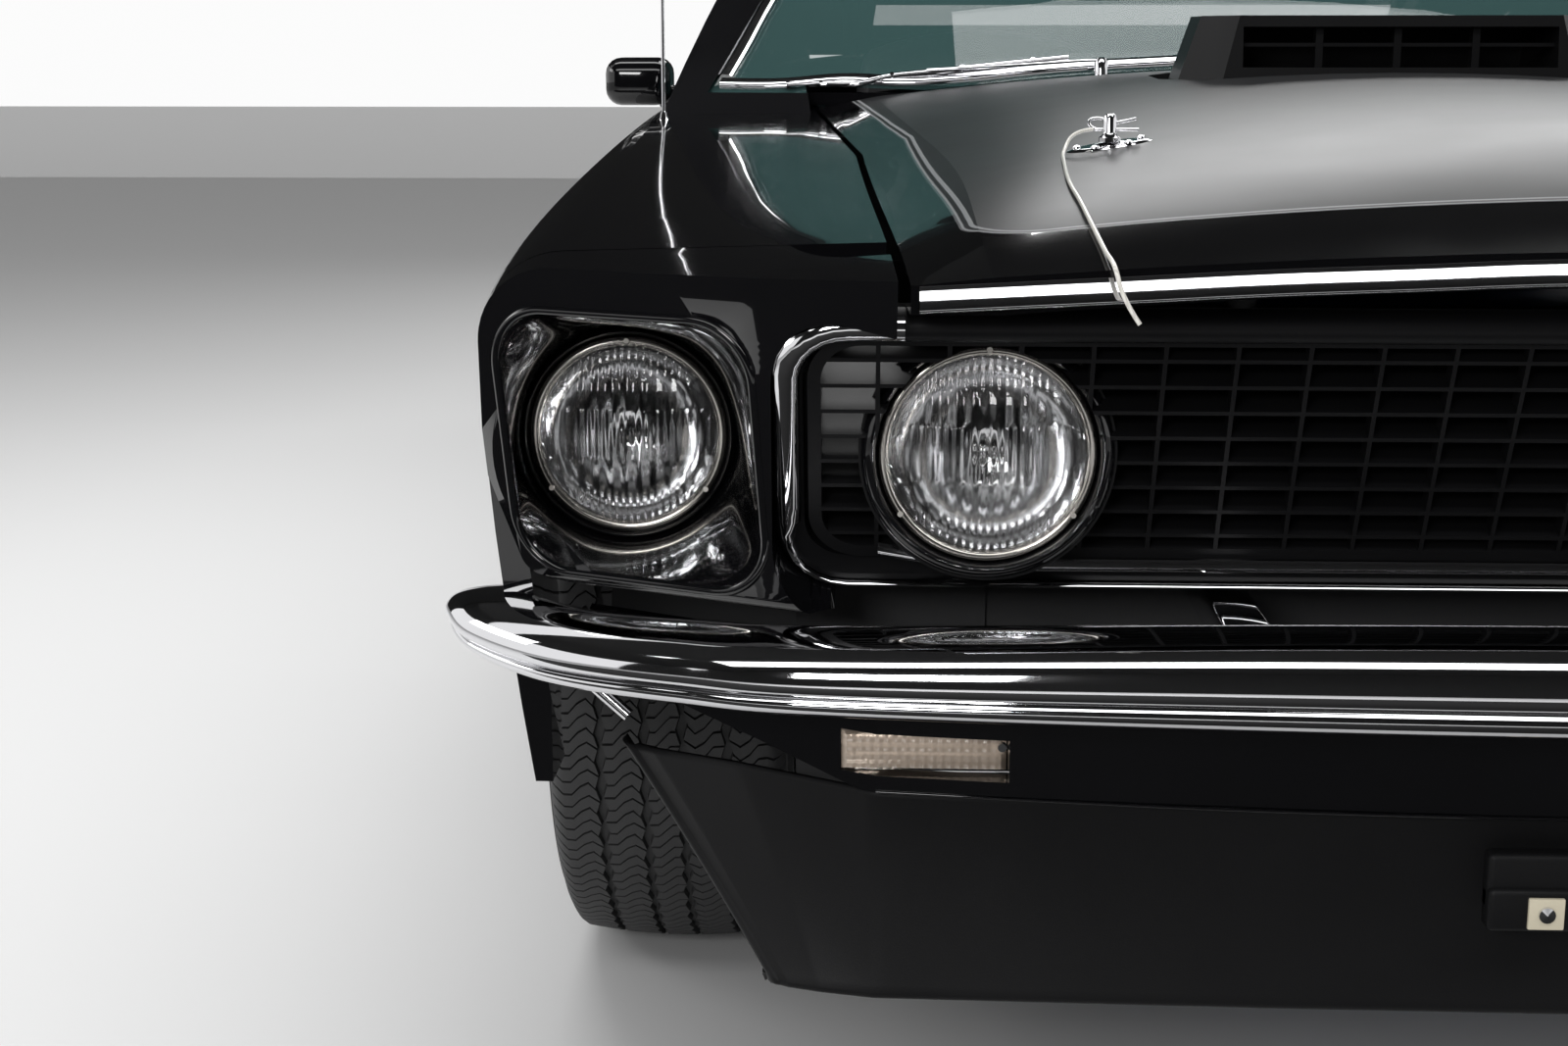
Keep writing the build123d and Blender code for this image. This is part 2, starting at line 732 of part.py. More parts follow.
# Roof with its pillars, cut for the screen, the doors, the quarter windows and the rear window
door_glass_low_z = 850.0
screen_low = (772, 868)
screen_top = (600, 1212)
screen_outline = [screen_low, screen_top, (-screen_top[0], screen_top[1]), (-screen_low[0], screen_low[1])]
side_opening = [(-1200, 600), (-840, 872), (-328, 1184), (60, 1216), (quarter_front_y, 1196), (quarter_front_y, 600)]
quarter_window = [(384, 900), (700, 905), (590, 1110), (384, 1168)]
rear_window = [(540, 760), (575, 1400), (-575, 1400), (-540, 760)]


def shrink(outline, amount):
    middle_x = sum(p[0] for p in outline) / len(outline)
    middle_y = sum(p[1] for p in outline) / len(outline)
    grown = []
    for x, y in outline:
        reach = sqrt((x - middle_x) ** 2 + (y - middle_y) ** 2)
        share = 1 - amount * 1.6 / reach
        grown.append((middle_x + (x - middle_x) * share, middle_y + (y - middle_y) * share))
    return grown


hood_swing = 12.0
hood_swing_space = hood_outline(hood_swing, -3000, hood_rear_y + hood_swing)
with BuildPart() as roof_shell:
    add(cabin_outer)
    add(cabin_inner, mode=Mode.SUBTRACT)
    add(front_prism(screen_outline, -1300, -250), mode=Mode.SUBTRACT)
    add(side_prism(side_opening, -1000, 1000), mode=Mode.SUBTRACT)
    add(side_prism(quarter_window, -1000, 1000), mode=Mode.SUBTRACT)
    add(plan_prism(rear_window, 800, 1300), mode=Mode.SUBTRACT)
    add(outer_skin, mode=Mode.SUBTRACT)
    add(hood_swing_space, mode=Mode.SUBTRACT)
finish(roof_shell.part, "roof_shell")

with BuildPart() as windshield:
    add(glass_shell)
    add(front_prism(shrink(screen_outline, seat_gap), -1300, -250), mode=Mode.INTERSECT)
    add(raised_skin, mode=Mode.SUBTRACT)
    add(hood_swing_space, mode=Mode.SUBTRACT)
finish(windshield.part, "windshield")

with BuildPart() as fixed_glass:
    add(glass_shell)
    add(
        plan_prism(shrink(rear_window, seat_gap), 800, 1300)
        + side_prism(shrink(quarter_window, seat_gap), 500, 1000)
        + side_prism(shrink(quarter_window, seat_gap), -1000, -500),
        mode=Mode.INTERSECT,
    )
finish(fixed_glass.part, "rear_glass")

# Louvred shade over the rear window
louvre_count = 7
louvre_half_width = 590.0
slope = atan2(roof_rear_z - slope_foot_z, slope_foot_y - roof_rear_y)
louvre_first_y = 770.0
louvre_pitch = 88.0
slope_drop = tan(slope)


def slope_z(y):
    return roof_rear_z - (y - roof_rear_y) * slope_drop


with BuildPart() as rear_louvre:
    for slat in range(louvre_count):
        y = louvre_first_y + slat * louvre_pitch
        z = slope_z(y)
        outline = [(y, z + 52), (y + 96, z + 8), (y + 97, z + 12), (y + 1, z + 56)]
        add(side_prism(outline, -louvre_half_width, louvre_half_width))
    for side in (-1, 1):
        y = louvre_first_y + louvre_count * louvre_pitch
        rail = [
            (louvre_first_y - 20, slope_z(louvre_first_y - 20) + seat_gap),
            (y + 10, slope_z(y + 10) + seat_gap),
            (y + 10, slope_z(y + 10) + 16),
            (y - 70, slope_z(y - 70) + 60),
            (louvre_first_y - 20, slope_z(louvre_first_y - 20) + 60),
        ]
        inner, outer = side * (louvre_half_width - 16), side * louvre_half_width
        add(side_prism(rail, min(inner, outer), max(inner, outer)))
finish(rear_louvre.part, "rear_louvre")

# Doors with their frameless glass and mirrors
hinge_y = -780.0
hinge_x = 890.0
hinge_heights = (560.0, 690.0)
hinge_pin_radius = 4.0
hinge_arm = 16.0
door_low_z = sill_top_z + panel_gap
door_bevel = 12.0
with BuildPart() as door:
    add(door_shell)
    door_plan = [
        (780, door_front_y),
        (1000, door_front_y),
        (1000, door_rear_y),
        (890, door_rear_y),
        (780, door_rear_y - door_bevel),
    ]
    add(plan_prism(door_plan, door_low_z, 900), mode=Mode.INTERSECT)
    for height in hinge_heights:
        add(
            block((780, door_front_y - 5, height - 5), (hinge_x + 8, hinge_y + 14, height + hinge_arm + 5)),
            mode=Mode.SUBTRACT,
        )
        add(upright_cylinder(hinge_pin_radius, hinge_x, hinge_y, height - 8, height + hinge_arm + 8))
finish(door.part, "door_left")
finish(door.part.mirror(Plane.YZ), "door_right")

door_glass_outline = [(-806, 820), (-806, 862), (-322, 1176), (60, 1208), (door_rear_y - 4, 1188), (door_rear_y - 4, 820)]
with BuildPart() as door_glass:
    add(glass_shell)
    add(side_prism(door_glass_outline, 500, 1000), mode=Mode.INTERSECT)
    add(raised_skin, mode=Mode.SUBTRACT)
finish(door_glass.part, "door_glass_left")
finish(door_glass.part.mirror(Plane.YZ), "door_glass_right")

mirror_y = -650.0
mirror_z = 878.0
with BuildPart() as mirror:
    with BuildSketch(Plane.XZ.offset(-(mirror_y + 30))):
        with Locations((874, mirror_z)):
            RectangleRounded(104, 62, 18)
    with BuildSketch(Plane.XZ.offset(-(mirror_y - 60))):
        with Locations((868, mirror_z - 2)):
            RectangleRounded(50, 34, 12)
    loft()
    add(block((834, mirror_y - 10, 842), (858, mirror_y + 20, mirror_z)))
    add(raised_skin, mode=Mode.SUBTRACT)
finish(mirror.part, "mirror_left")
finish(mirror.part.mirror(Plane.YZ), "mirror_right")

# Body frame: floor, sills, bulkhead, cowl, rails, wheel houses and boot floor
floor_z = 222.0
floor_wall = 14.0
cabin_half_width = 776.0
firewall_y = -902.0
rail_low_z = 330.0
apron_x = 455.0
rear_house_x = 602.0
house_wall = 8.0
rear_wall_x = rear_house_x + house_wall
spring_top_z = 290.0
hinge_eye_radius = 7.0
house_radius = arch_radius + 4
kick_y = 760.0
pan_z = 360.0
firewall_top_z = 812.0
kick_panel_x = 747.0
axle_floor_z = 500.0
boot_floor_z = 345.0
bulkhead_rear_y = firewall_y + 16
with BuildPart() as floor_pan:
    add(block((-cabin_half_width, bulkhead_rear_y, floor_z), (cabin_half_width, kick_y + floor_wall, floor_z + floor_wall)))
    add(block((-130, bulkhead_rear_y, floor_z), (130, kick_y + 5, 352)))
    add(block((-cabin_half_width, kick_y, floor_z), (cabin_half_width, kick_y + floor_wall, pan_z + 12)))
    add(block((-rear_house_x, kick_y, pan_z), (rear_house_x, 1004, pan_z + 12)))
    add(block((-rear_house_x, 990, pan_z), (rear_house_x, 1004, axle_floor_z)))
    add(block((-112, -2000, 0), (112, 1200, 336)), mode=Mode.SUBTRACT)
    for side in (-1, 1):
        sill = outer_skin & block((770, cowl_rear_y, 0), (1000, 990, sill_top_z))
        if side < 0:
            sill = sill.mirror(Plane.YZ)
        add(sill)
        add(
            cross_cylinder(arch_radius + 2, rear_axle_y, axle_z, *sorted((side * rear_wall_x, side * 1000))),
            mode=Mode.SUBTRACT,
        )
        low, high = sorted((side * kick_panel_x, side * (kick_panel_x + 9)))
        add(block((low, bulkhead_rear_y, floor_z), (high, hinge_y + 20, 740)))
        for height in hinge_heights:
            low, high = sorted((side * kick_panel_x, side * hinge_x))
            add(block((low, hinge_y - 6, height), (high, hinge_y + 6, height + hinge_arm)))
            add(upright_cylinder(hinge_eye_radius, side * hinge_x, hinge_y, height, height + hinge_arm))
            bore = hinge_pin_radius + running_clearance
            add(
                upright_cylinder(bore, side * hinge_x, hinge_y, height - 1, height + hinge_arm + 1),
                mode=Mode.SUBTRACT,
            )
        low, high = sorted((side * 490, side * 550))
        add(block((low, kick_y + 44, spring_top_z + seat_gap), (high, kick_y + 74, pan_z + 1)))
finish(floor_pan.part, "floor_pan")

with BuildPart() as firewall:
    add(block((-cabin_half_width, firewall_y, floor_z), (cabin_half_width, bulkhead_rear_y, firewall_top_z)))
    add(block((-112, -2000, 0), (112, 1200, 336)), mode=Mode.SUBTRACT)
    for side in (-1, 1):
        wall = sorted((side * (apron_x + house_wall), side * 1000))
        add(cross_cylinder(arch_radius + 2, front_axle_y, axle_z, *wall), mode=Mode.SUBTRACT)
finish(firewall.part, "firewall")

with BuildPart() as front_structure:
    for side in (-1, 1):
        rail_x = side * 415
        rail_end_y = firewall_y - seat_gap
        add(block((rail_x - 40, rail_front_y, rail_low_z), (rail_x + 40, rail_end_y, rail_low_z + 100)))
        apron = side * (apron_x + 4)
        add(block((apron - 4, -2110, rail_low_z), (apron + 4, rail_end_y, 760)))
        low, high = sorted((side * apron_x, side * 796))
        tub = cross_cylinder(house_radius + house_wall, front_axle_y, axle_z, low, high)
        tub -= cross_cylinder(house_radius, front_axle_y, axle_z, low, high)
        tub &= block((-1000, front_axle_y - 400, axle_z + 90), (1000, front_axle_y + 400, 800))
        add(tub & block((-1000, -3000, 0), (1000, rail_end_y, 900)))
        low, high = sorted((side * (apron_x - 10), side * (apron_x + 20)))
        add(block((low, front_axle_y - 34, 431), (high, front_axle_y + 34, 474)), mode=Mode.SUBTRACT)
        wall = sorted((side * (apron_x + house_wall), side * 1000))
        add(cross_cylinder(arch_radius + 2, front_axle_y, axle_z, *wall), mode=Mode.SUBTRACT)
finish(front_structure.part, "front_structure")

with BuildPart() as radiator_support:
    add(block((-620, support_front_y - 4, 320), (620, -2096, 742)))
    add(block((-480, support_front_y - 9, 400), (480, -2090, 690)), mode=Mode.SUBTRACT)
    add(block((-480, support_front_y, 400), (480, -2100, 690)))
    for side in (-1, 1):
        stop = upright_cylinder(12, side * 300, -2108, 740, 860)
        add(stop & inner_skin.moved(Location((0, 0, -seat_gap))))
        low, high = sorted((side * (375 - seat_gap), side * (455 + seat_gap)))
        add(block((low, -2300, 0), (high, -2000, rail_low_z + 100 + seat_gap)), mode=Mode.SUBTRACT)
        low, high = sorted((side * (apron_x - seat_gap), side * (apron_x + 8 + seat_gap)))
        add(block((low, -2110 - seat_gap, 0), (high, -2000, 900)), mode=Mode.SUBTRACT)
finish(radiator_support.part, "radiator_support")

with BuildPart() as rear_structure:
    add(block((-rear_house_x, 990, axle_floor_z), (rear_house_x, 1620, axle_floor_z + 12)))
    add(block((-rear_house_x, 1606, boot_floor_z), (rear_house_x, 1620, axle_floor_z + 12)))
    add(block((-700, 1606, boot_floor_z), (700, tail_panel_y - 1, boot_floor_z + 12)))
    for side in (-1, 1):
        low, high = sorted((side * rear_house_x, side * 796))
        tub = cross_cylinder(house_radius + house_wall, rear_axle_y, axle_z, low, high)
        tub -= cross_cylinder(house_radius, rear_axle_y, axle_z, low, high)
        add(tub & block((-1000, rear_axle_y - 400, axle_z + 90), (1000, rear_axle_y + 400, 800)))
        low, high = sorted((side * rear_house_x, side * rear_wall_x))
        add(block((low, 930, 385), (high, 1680, 660)))
        low, high = sorted((side * 490, side * 550))
        add(block((low, 1880, spring_top_z + seat_gap), (high, 1910, boot_floor_z + 1)))
        wall = sorted((side * rear_wall_x, side * 1000))
        add(cross_cylinder(arch_radius + 2, rear_axle_y, axle_z, *wall), mode=Mode.SUBTRACT)
finish(rear_structure.part, "rear_structure")

with BuildPart() as cowl:
    add(cowl_zone(hood_rear_x + panel_gap / 2 - seat_gap))
    add(thin_shell, mode=Mode.INTERSECT)
finish(cowl.part, "cowl")

# Scoop on the engine's air cleaner, standing through the hood
scoop_low_z = 846.0
scoop_top_z = 957.0
scoop_lean = 0.14
scoop_mouth_half = 168.0
scoop_wall = 12.0
with BuildPart() as hood_scoop:
    with BuildSketch(Plane.XY.offset(scoop_low_z)):
        with BuildLine():
            Polyline(*scoop_outline(0), close=True)
        make_face()
    with BuildSketch(Plane.XY.offset(scoop_top_z)):
        with BuildLine():
            Polyline(*[(x * 0.86, y + (14 if y < -1200 else -24)) for x, y in scoop_outline(0)], close=True)
        make_face()
    loft()
    add(
        block((-scoop_mouth_half, -1400, 902), (scoop_mouth_half, scoop_rear_y - 70, scoop_top_z - scoop_wall)),
        mode=Mode.SUBTRACT,
    )
    for bar in (-84, 0, 84):
        add(block((bar - 4, scoop_front_y + 24, 900), (bar + 4, scoop_front_y + 40, scoop_top_z - scoop_wall + 1)))
    add(block((-scoop_mouth_half - 1, scoop_front_y + 26, 924), (scoop_mouth_half + 1, scoop_front_y + 38, 928)))
finish(hood_scoop.part, "hood_scoop")

# Engine with its gearbox as one plain block, and the air cleaner that carries the scoop
with BuildPart() as engine_block:
    add(block((-260, -1760, 292 + seat_gap), (260, -1010, 700)))
    add(block((-95, -1011, 236), (95, -420, 322)))
    add(upright_cylinder(190, 0, -1190, 690, scoop_low_z - seat_gap))
finish(engine_block.part, "engine_block")

# Wheels: tyre, five-spoke rim with its hub and brake drum
tyre_bead_radius = rim_radius + 2
bead_half = 94.0
with BuildPart() as tyre_shape:
    with BuildSketch(Plane.XY):
        with BuildLine():
            half = tyre_width / 2
            tread = tread_width / 2
            bead = (rim_radius + seat_gap, bead_half)
            sidewall = (262, half)
            edge = (tyre_radius - 9, tread)
            Line((bead[0], -bead[1]), bead)
            ThreePointArc(bead, (226, half - 4), sidewall)
            ThreePointArc(sidewall, (300, half - 6), edge)
            ThreePointArc(edge, (tyre_radius, 0), (edge[0], -edge[1]))
            ThreePointArc((edge[0], -edge[1]), (300, -half + 6), (sidewall[0], -sidewall[1]))
            ThreePointArc((sidewall[0], -sidewall[1]), (226, -half + 4), (bead[0], -bead[1]))
        make_face()
    revolve(axis=Axis.Y)
tyre_part = tyre_shape.part.rotate(Axis.Z, -90)

drum_outer_x = 6.0
with BuildPart() as rim_shape:
    with BuildSketch(Plane.XY):
        with BuildLine():
            Polyline(
                (rim_radius, -rim_width / 2),
                (rim_radius, rim_width / 2),
                (rim_radius + rim_flange, rim_width / 2),
                (rim_radius + rim_flange, rim_width / 2 + 6),
                (rim_radius - rim_wall, rim_width / 2 + 6),
                (rim_radius - rim_wall - 12, 20),
                (rim_radius - rim_wall, -rim_width / 2 - 6),
                (rim_radius + rim_flange, -rim_width / 2 - 6),
                (rim_radius + rim_flange, -rim_width / 2),
                close=True,
            )
        make_face()
    revolve(axis=Axis.Y)
    with BuildSketch(Plane.XZ.offset(-30)):
        Circle(hub_radius)
        with PolarLocations((rim_radius - 6 + hub_radius - 12) / 2, spoke_count):
            Rectangle(rim_radius - 6 - hub_radius + 12, 62)
    extrude(amount=-28)
    with BuildSketch(Plane.XZ.offset(40)):
        Circle(brake_radius)
        Circle(brake_radius - 8, mode=Mode.SUBTRACT)
    extrude(amount=-76)
    with BuildSketch(Plane.XZ.offset(-20)):
        Circle(brake_radius)
    extrude(amount=-11)
    with BuildSketch(Plane.XZ.offset(-20)):
        Circle(spindle_radius + running_clearance)
    extrude(amount=-30, mode=Mode.SUBTRACT)
rim_part = rim_shape.part.rotate(Axis.Z, -90)

places = [("front_left", 1, front_axle_y), ("front_right", -1, front_axle_y)]
places += [("rear_left", 1, rear_axle_y), ("rear_right", -1, rear_axle_y)]
for name, side, y in places:
    turn = 0 if side > 0 else 180
    spot = Location((side * wheel_x, y, axle_z), (0, 0, turn))
    finish(tyre_part.moved(spot), f"tyre_{name}")
    finish(rim_part.moved(spot), f"rim_{name}")

# Knuckles that carry the front wheels, and the arms and crossmember that hold them
knuckle_low_z = 236.0
knuckle_high_z = 434.0
ball_gap = 0.3
kingpin_radius = 9.0
with BuildPart() as knuckle:
    add(block((kingpin_x - 14, front_axle_y - 26, knuckle_low_z), (kingpin_x + 14, front_axle_y + 26, knuckle_high_z)))
    add(cross_cylinder(34, front_axle_y, axle_z, kingpin_x - 20, kingpin_x + 34))
    add(cross_cylinder(spindle_radius, front_axle_y, axle_z, kingpin_x, wheel_x + 46))
    add(block((kingpin_x - 12, front_axle_y, 262), (kingpin_x + 12, front_axle_y + 116, 286)))
    add(upright_cylinder(kingpin_radius, kingpin_x, front_axle_y, knuckle_low_z - 22, knuckle_high_z + 20))
finish(knuckle.part, "knuckle_left")
finish(knuckle.part.mirror(Plane.YZ), "knuckle_right")

with BuildPart() as front_suspension:
    add(block((-455, front_axle_y - 60, 190), (455, front_axle_y + 60, 292)))
    add(block((375, front_axle_y - 60, 280), (455, front_axle_y + 60, rail_low_z - seat_gap)))
    add(block((-455, front_axle_y - 60, 280), (-375, front_axle_y + 60, rail_low_z - seat_gap)))
    for side in (-1, 1):
        inner, outer = sorted((side * 376, side * (kingpin_x + 16)))
        add(block((inner, front_axle_y - 20, knuckle_low_z - 26), (outer, front_axle_y + 20, knuckle_low_z - ball_gap)))
        add(block((inner, front_axle_y - 20, knuckle_high_z + ball_gap), (outer, front_axle_y + 20, knuckle_high_z + 24)))
        bore = upright_cylinder(kingpin_radius + running_clearance, side * kingpin_x, front_axle_y, 180, 480)
        add(bore, mode=Mode.SUBTRACT)
finish(front_suspension.part, "front_suspension")

with BuildPart() as rear_axle:
    add(cross_cylinder(38, rear_axle_y, axle_z, -wheel_x + 50, wheel_x - 50))
    add(cross_cylinder(spindle_radius, rear_axle_y, axle_z, -wheel_x - 46, wheel_x + 46))
    with Locations((0, rear_axle_y, axle_z)):
        Sphere(128)
    add(long_cylinder(34, 0, 285, -418, rear_axle_y - 60))
    for side in (-1, 1):
        spring_x = side * 520
        add(block((spring_x - 30, kick_y + 40, 262), (spring_x + 30, rear_axle_y + 620, spring_top_z)))
        add(block((spring_x - 34, rear_axle_y - 50, 262), (spring_x + 34, rear_axle_y + 50, 340)))
finish(rear_axle.part, "rear_axle")

# Exhaust and fuel tank
with BuildPart() as exhaust:
    for side in (-1, 1):
        add(long_cylinder(27, side * 330, 178, -1000, rear_y - 50))
        add(long_cylinder(30, side * 330, 178, rear_y - 130, rear_y - 50))
        add(block((side * 330 - 105, 330, 146), (side * 330 + 105, 830, 212)))
        add(block((side * 330 - 12, 500, 200), (side * 330 + 12, 520, floor_z - seat_gap)))
        add(block((side * 330 - 8, 2140, 180), (side * 330 + 8, 2160, boot_floor_z - seat_gap)))
finish(exhaust.part, "exhaust")

with BuildPart() as fuel_tank:
    add(block((-230, 1690, 236), (230, 2180, boot_floor_z - seat_gap)))
finish(fuel_tank.part, "fuel_tank")

# Interior
column_x = 370.0
column_tilt = 18.0
wheel_centre = (column_x, -470.0, 742.0)
column_dir = (0, cos(radians(column_tilt)), sin(radians(column_tilt)))
column_plane = Plane(origin=wheel_centre, x_dir=(1, 0, 0), z_dir=column_dir)
shaft_radius = 11.0
with BuildPart() as dashboard:
    dash_front_y = firewall_y + 16 + seat_gap
    dash_half_width = kick_panel_x - seat_gap
    dash_outline = [(dash_front_y, 540), (-690, 540), (-640, 640), (-650, 770), (-700, 806), (dash_front_y, 808)]
    add(side_prism(dash_outline, -dash_half_width, dash_half_width))
    with BuildSketch(column_plane.offset(-60)):
        Circle(30)
    extrude(amount=-230)
    with BuildSketch(column_plane.offset(-8)):
        Circle(shaft_radius)
    extrude(amount=-80)
finish(dashboard.part, "dashboard")

with BuildPart() as steering_wheel:
    with BuildSketch(Plane(origin=column_plane.origin, x_dir=column_plane.z_dir, z_dir=-column_plane.x_dir)):
        with Locations((0, 188)):
            Circle(12)
    revolve(axis=Axis(column_plane.origin, column_plane.z_dir))
    with BuildSketch(column_plane.offset(-4)):
        Circle(40)
        with PolarLocations(96, 3, start_angle=-90):
            Rectangle(176, 24)
    extrude(amount=8)
    with BuildSketch(column_plane.offset(-30)):
        Circle(28)
    extrude(amount=28)
    with BuildSketch(column_plane.offset(-30)):
        Circle(shaft_radius + running_clearance)
    extrude(amount=23, mode=Mode.SUBTRACT)
finish(steering_wheel.part, "steering_wheel")


def seat(x_low, x_high, y, width_back):
    cushion = [(y, 262), (y + 520, 262), (y + 520, 390), (y + 430, 420), (y, 452)]
    back = [(y + 430, 300), (y + 560, 300), (y + 700, 900), (y + 640, 960), (y + 580, 930), (y + 440, 410)]
    return side_prism(cushion, x_low, x_high) + side_prism(back, x_low + width_back, x_high - width_back)


with BuildPart() as front_seats:
    add(both_sides(seat(145, 625, -330, 10)))
    for side in (-1, 1):
        low, high = sorted((side * 240, side * 590))
        add(block((low, -250, floor_z + floor_wall + seat_gap), (high, 100, 270)))
finish(front_seats.part, "front_seats")

with BuildPart() as rear_seat:
    bench_z = pan_z + 12 + seat_gap
    add(side_prism([(790, bench_z), (988, bench_z), (988, 440), (560, 470), (560, 440), (790, 440)], -590, 590))
    add(side_prism([(880, bench_z), (988, bench_z), (988, 520), (1080, 860), (1000, 880), (870, 460)], -590, 590))
finish(rear_seat.part, "rear_seat")

# Wipers and antenna
blade_radius = 4.0
screen_lean = rake_run / rake_rise
glass_back = glass_set_in * rake_length / rake_rise


def screen_point(x, z, lift):
    y = screen_base_y + (screen_corner_y - screen_base_y) * (x / screen_corner_x) ** 2
    y += (z - screen_base_z) * screen_lean + glass_back
    return (x, y - lift * rake_rise / rake_length, z + lift * rake_run / rake_length)


# Columns: the blade's outer end, its inner end, and the pivot on the cowl
Wiper = namedtuple("Wiper", "outer_x outer_z inner_x inner_z pivot_x pivot_y")
wiper_table = [Wiper(-674, 868, -326, 903, -290, -951), Wiper(-60, 908, 330, 904, 372, -945)]
with BuildPart() as wipers:
    for wiper in wiper_table:
        outer = screen_point(wiper.outer_x, wiper.outer_z, blade_radius + 2.6)
        inner = screen_point(wiper.inner_x, wiper.inner_z, blade_radius + 2.6)
        middle = tuple((a + b) / 2 for a, b in zip(outer, inner))
        add(rod(outer, inner, blade_radius))
        add(upright_cylinder(10, wiper.pivot_x, wiper.pivot_y, 850, 912))
        add(rod((wiper.pivot_x, wiper.pivot_y, 909), middle, 3.5))
    add(raised_skin, mode=Mode.SUBTRACT)
finish(wipers.part, "wipers")

antenna_x = -815.0
antenna_y = -1050.0
with BuildPart() as antenna:
    add(upright_cylinder(14, antenna_x, antenna_y, 806, 834))
    add(upright_cylinder(2.2, antenna_x, antenna_y, 830, 1240))
    add(raised_skin, mode=Mode.SUBTRACT)
finish(antenna.part, "antenna")

# Hood pins with their plates and clips
pin_x = 374.0
pin_y = -1880.0
pin_top_z = 872.0
clip_z = 859.0
clip_reach = 14.0
with BuildPart() as pin_plate:
    with BuildSketch(Plane.XY.offset(800)):
        with Locations((pin_x, pin_y)):
            Ellipse(35, 26)
    extrude(amount=80)
    add(outer_skin.moved(Location((0, 0, 3))), mode=Mode.INTERSECT)
    add(upright_cylinder(6, pin_x, pin_y, 820, pin_top_z))
    add(rod((pin_x, pin_y, clip_z), (pin_x + clip_reach - seat_gap, pin_y, clip_z), 2))
    add(raised_skin, mode=Mode.SUBTRACT)
finish(both_sides(pin_plate.part), "hood_pins")

# Lanyards: thin cables that run from the clips over the front edge of the hood and end in the air
lanyard_radius = 1.5
lanyard_route = [
    (pin_x + clip_reach, pin_y, clip_z),
    (404, -1884, 858),
    (413, -1900, 841.6),
    (416, -1935, 839.6),
    (419, -1990, 836.4),
    (422.5, -2050, 832.2),
    (424, -2108, 827.6),
    (423, -2166, 822),
    (422.5, -2222, 815),
    (421, -2275, 806.6),
    (419.5, -2318, 799),
    (417, -2351.5, 794.5),
    (412.5, -2354.5, 775),
    (401.5, -2356, 759),
]


def bend_radii(route):
    radii = []
    for before, corner, after in zip(route, route[1:], route[2:]):
        incoming = Vector(*corner) - Vector(*before)
        outgoing = Vector(*after) - Vector(*corner)
        half_turn = radians(incoming.get_angle(outgoing) / 2)
        radii.append(0.45 * min(incoming.length, outgoing.length) / tan(half_turn))
    return radii


lanyard_radii = bend_radii(lanyard_route)
print("lanyard radii", [round(radius) for radius in lanyard_radii])
with BuildPart() as lanyard:
    with BuildLine() as lanyard_path:
        FilletPolyline(*lanyard_route, radius=lanyard_radii)
    with BuildSketch(Plane(origin=lanyard_path.line @ 0, z_dir=lanyard_path.line % 0)):
        Circle(lanyard_radius)
    sweep(path=lanyard_path.line)
print("lanyard length", round(lanyard_path.wire().length), "mm")
finish(lanyard.part, "lanyard_left")
finish(lanyard.part.mirror(Plane.YZ), "lanyard_right")
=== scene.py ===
import bmesh
import bpy
from math import atan2, cos, pi, radians, sin, tan
from mathutils import Matrix, Vector


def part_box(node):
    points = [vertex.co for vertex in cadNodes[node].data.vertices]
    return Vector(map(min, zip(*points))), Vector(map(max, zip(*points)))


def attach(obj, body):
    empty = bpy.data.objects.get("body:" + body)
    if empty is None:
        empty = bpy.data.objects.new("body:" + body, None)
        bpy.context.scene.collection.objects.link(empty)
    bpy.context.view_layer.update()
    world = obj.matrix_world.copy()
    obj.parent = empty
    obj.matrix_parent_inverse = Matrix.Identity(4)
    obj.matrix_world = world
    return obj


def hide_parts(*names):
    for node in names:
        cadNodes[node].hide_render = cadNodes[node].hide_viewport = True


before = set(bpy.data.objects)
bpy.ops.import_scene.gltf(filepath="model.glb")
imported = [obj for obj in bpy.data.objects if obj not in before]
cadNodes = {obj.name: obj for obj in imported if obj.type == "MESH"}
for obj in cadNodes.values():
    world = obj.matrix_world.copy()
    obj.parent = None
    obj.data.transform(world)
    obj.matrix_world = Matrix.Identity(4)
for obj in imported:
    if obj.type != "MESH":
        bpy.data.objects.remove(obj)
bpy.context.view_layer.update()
print("frame loaded,", len(cadNodes), "nodes")

# Camera
cameraSet = {"place": (-0.565, -3.715, 0.927), "tilt": 77.8, "turn": 2.3, "lens": 50.87}
cameraData = bpy.data.cameras.new("photoCamera")
cameraData.sensor_width = 36
cameraData.lens = cameraSet["lens"]
cameraData.clip_start = 0.05
camera = bpy.data.objects.new("photoCamera", cameraData)
camera.location = cameraSet["place"]
camera.rotation_euler = (radians(cameraSet["tilt"]), 0, radians(cameraSet["turn"]))
bpy.context.collection.objects.link(camera)
bpy.context.scene.camera = camera
bpy.context.scene.view_settings.view_transform = "Standard"


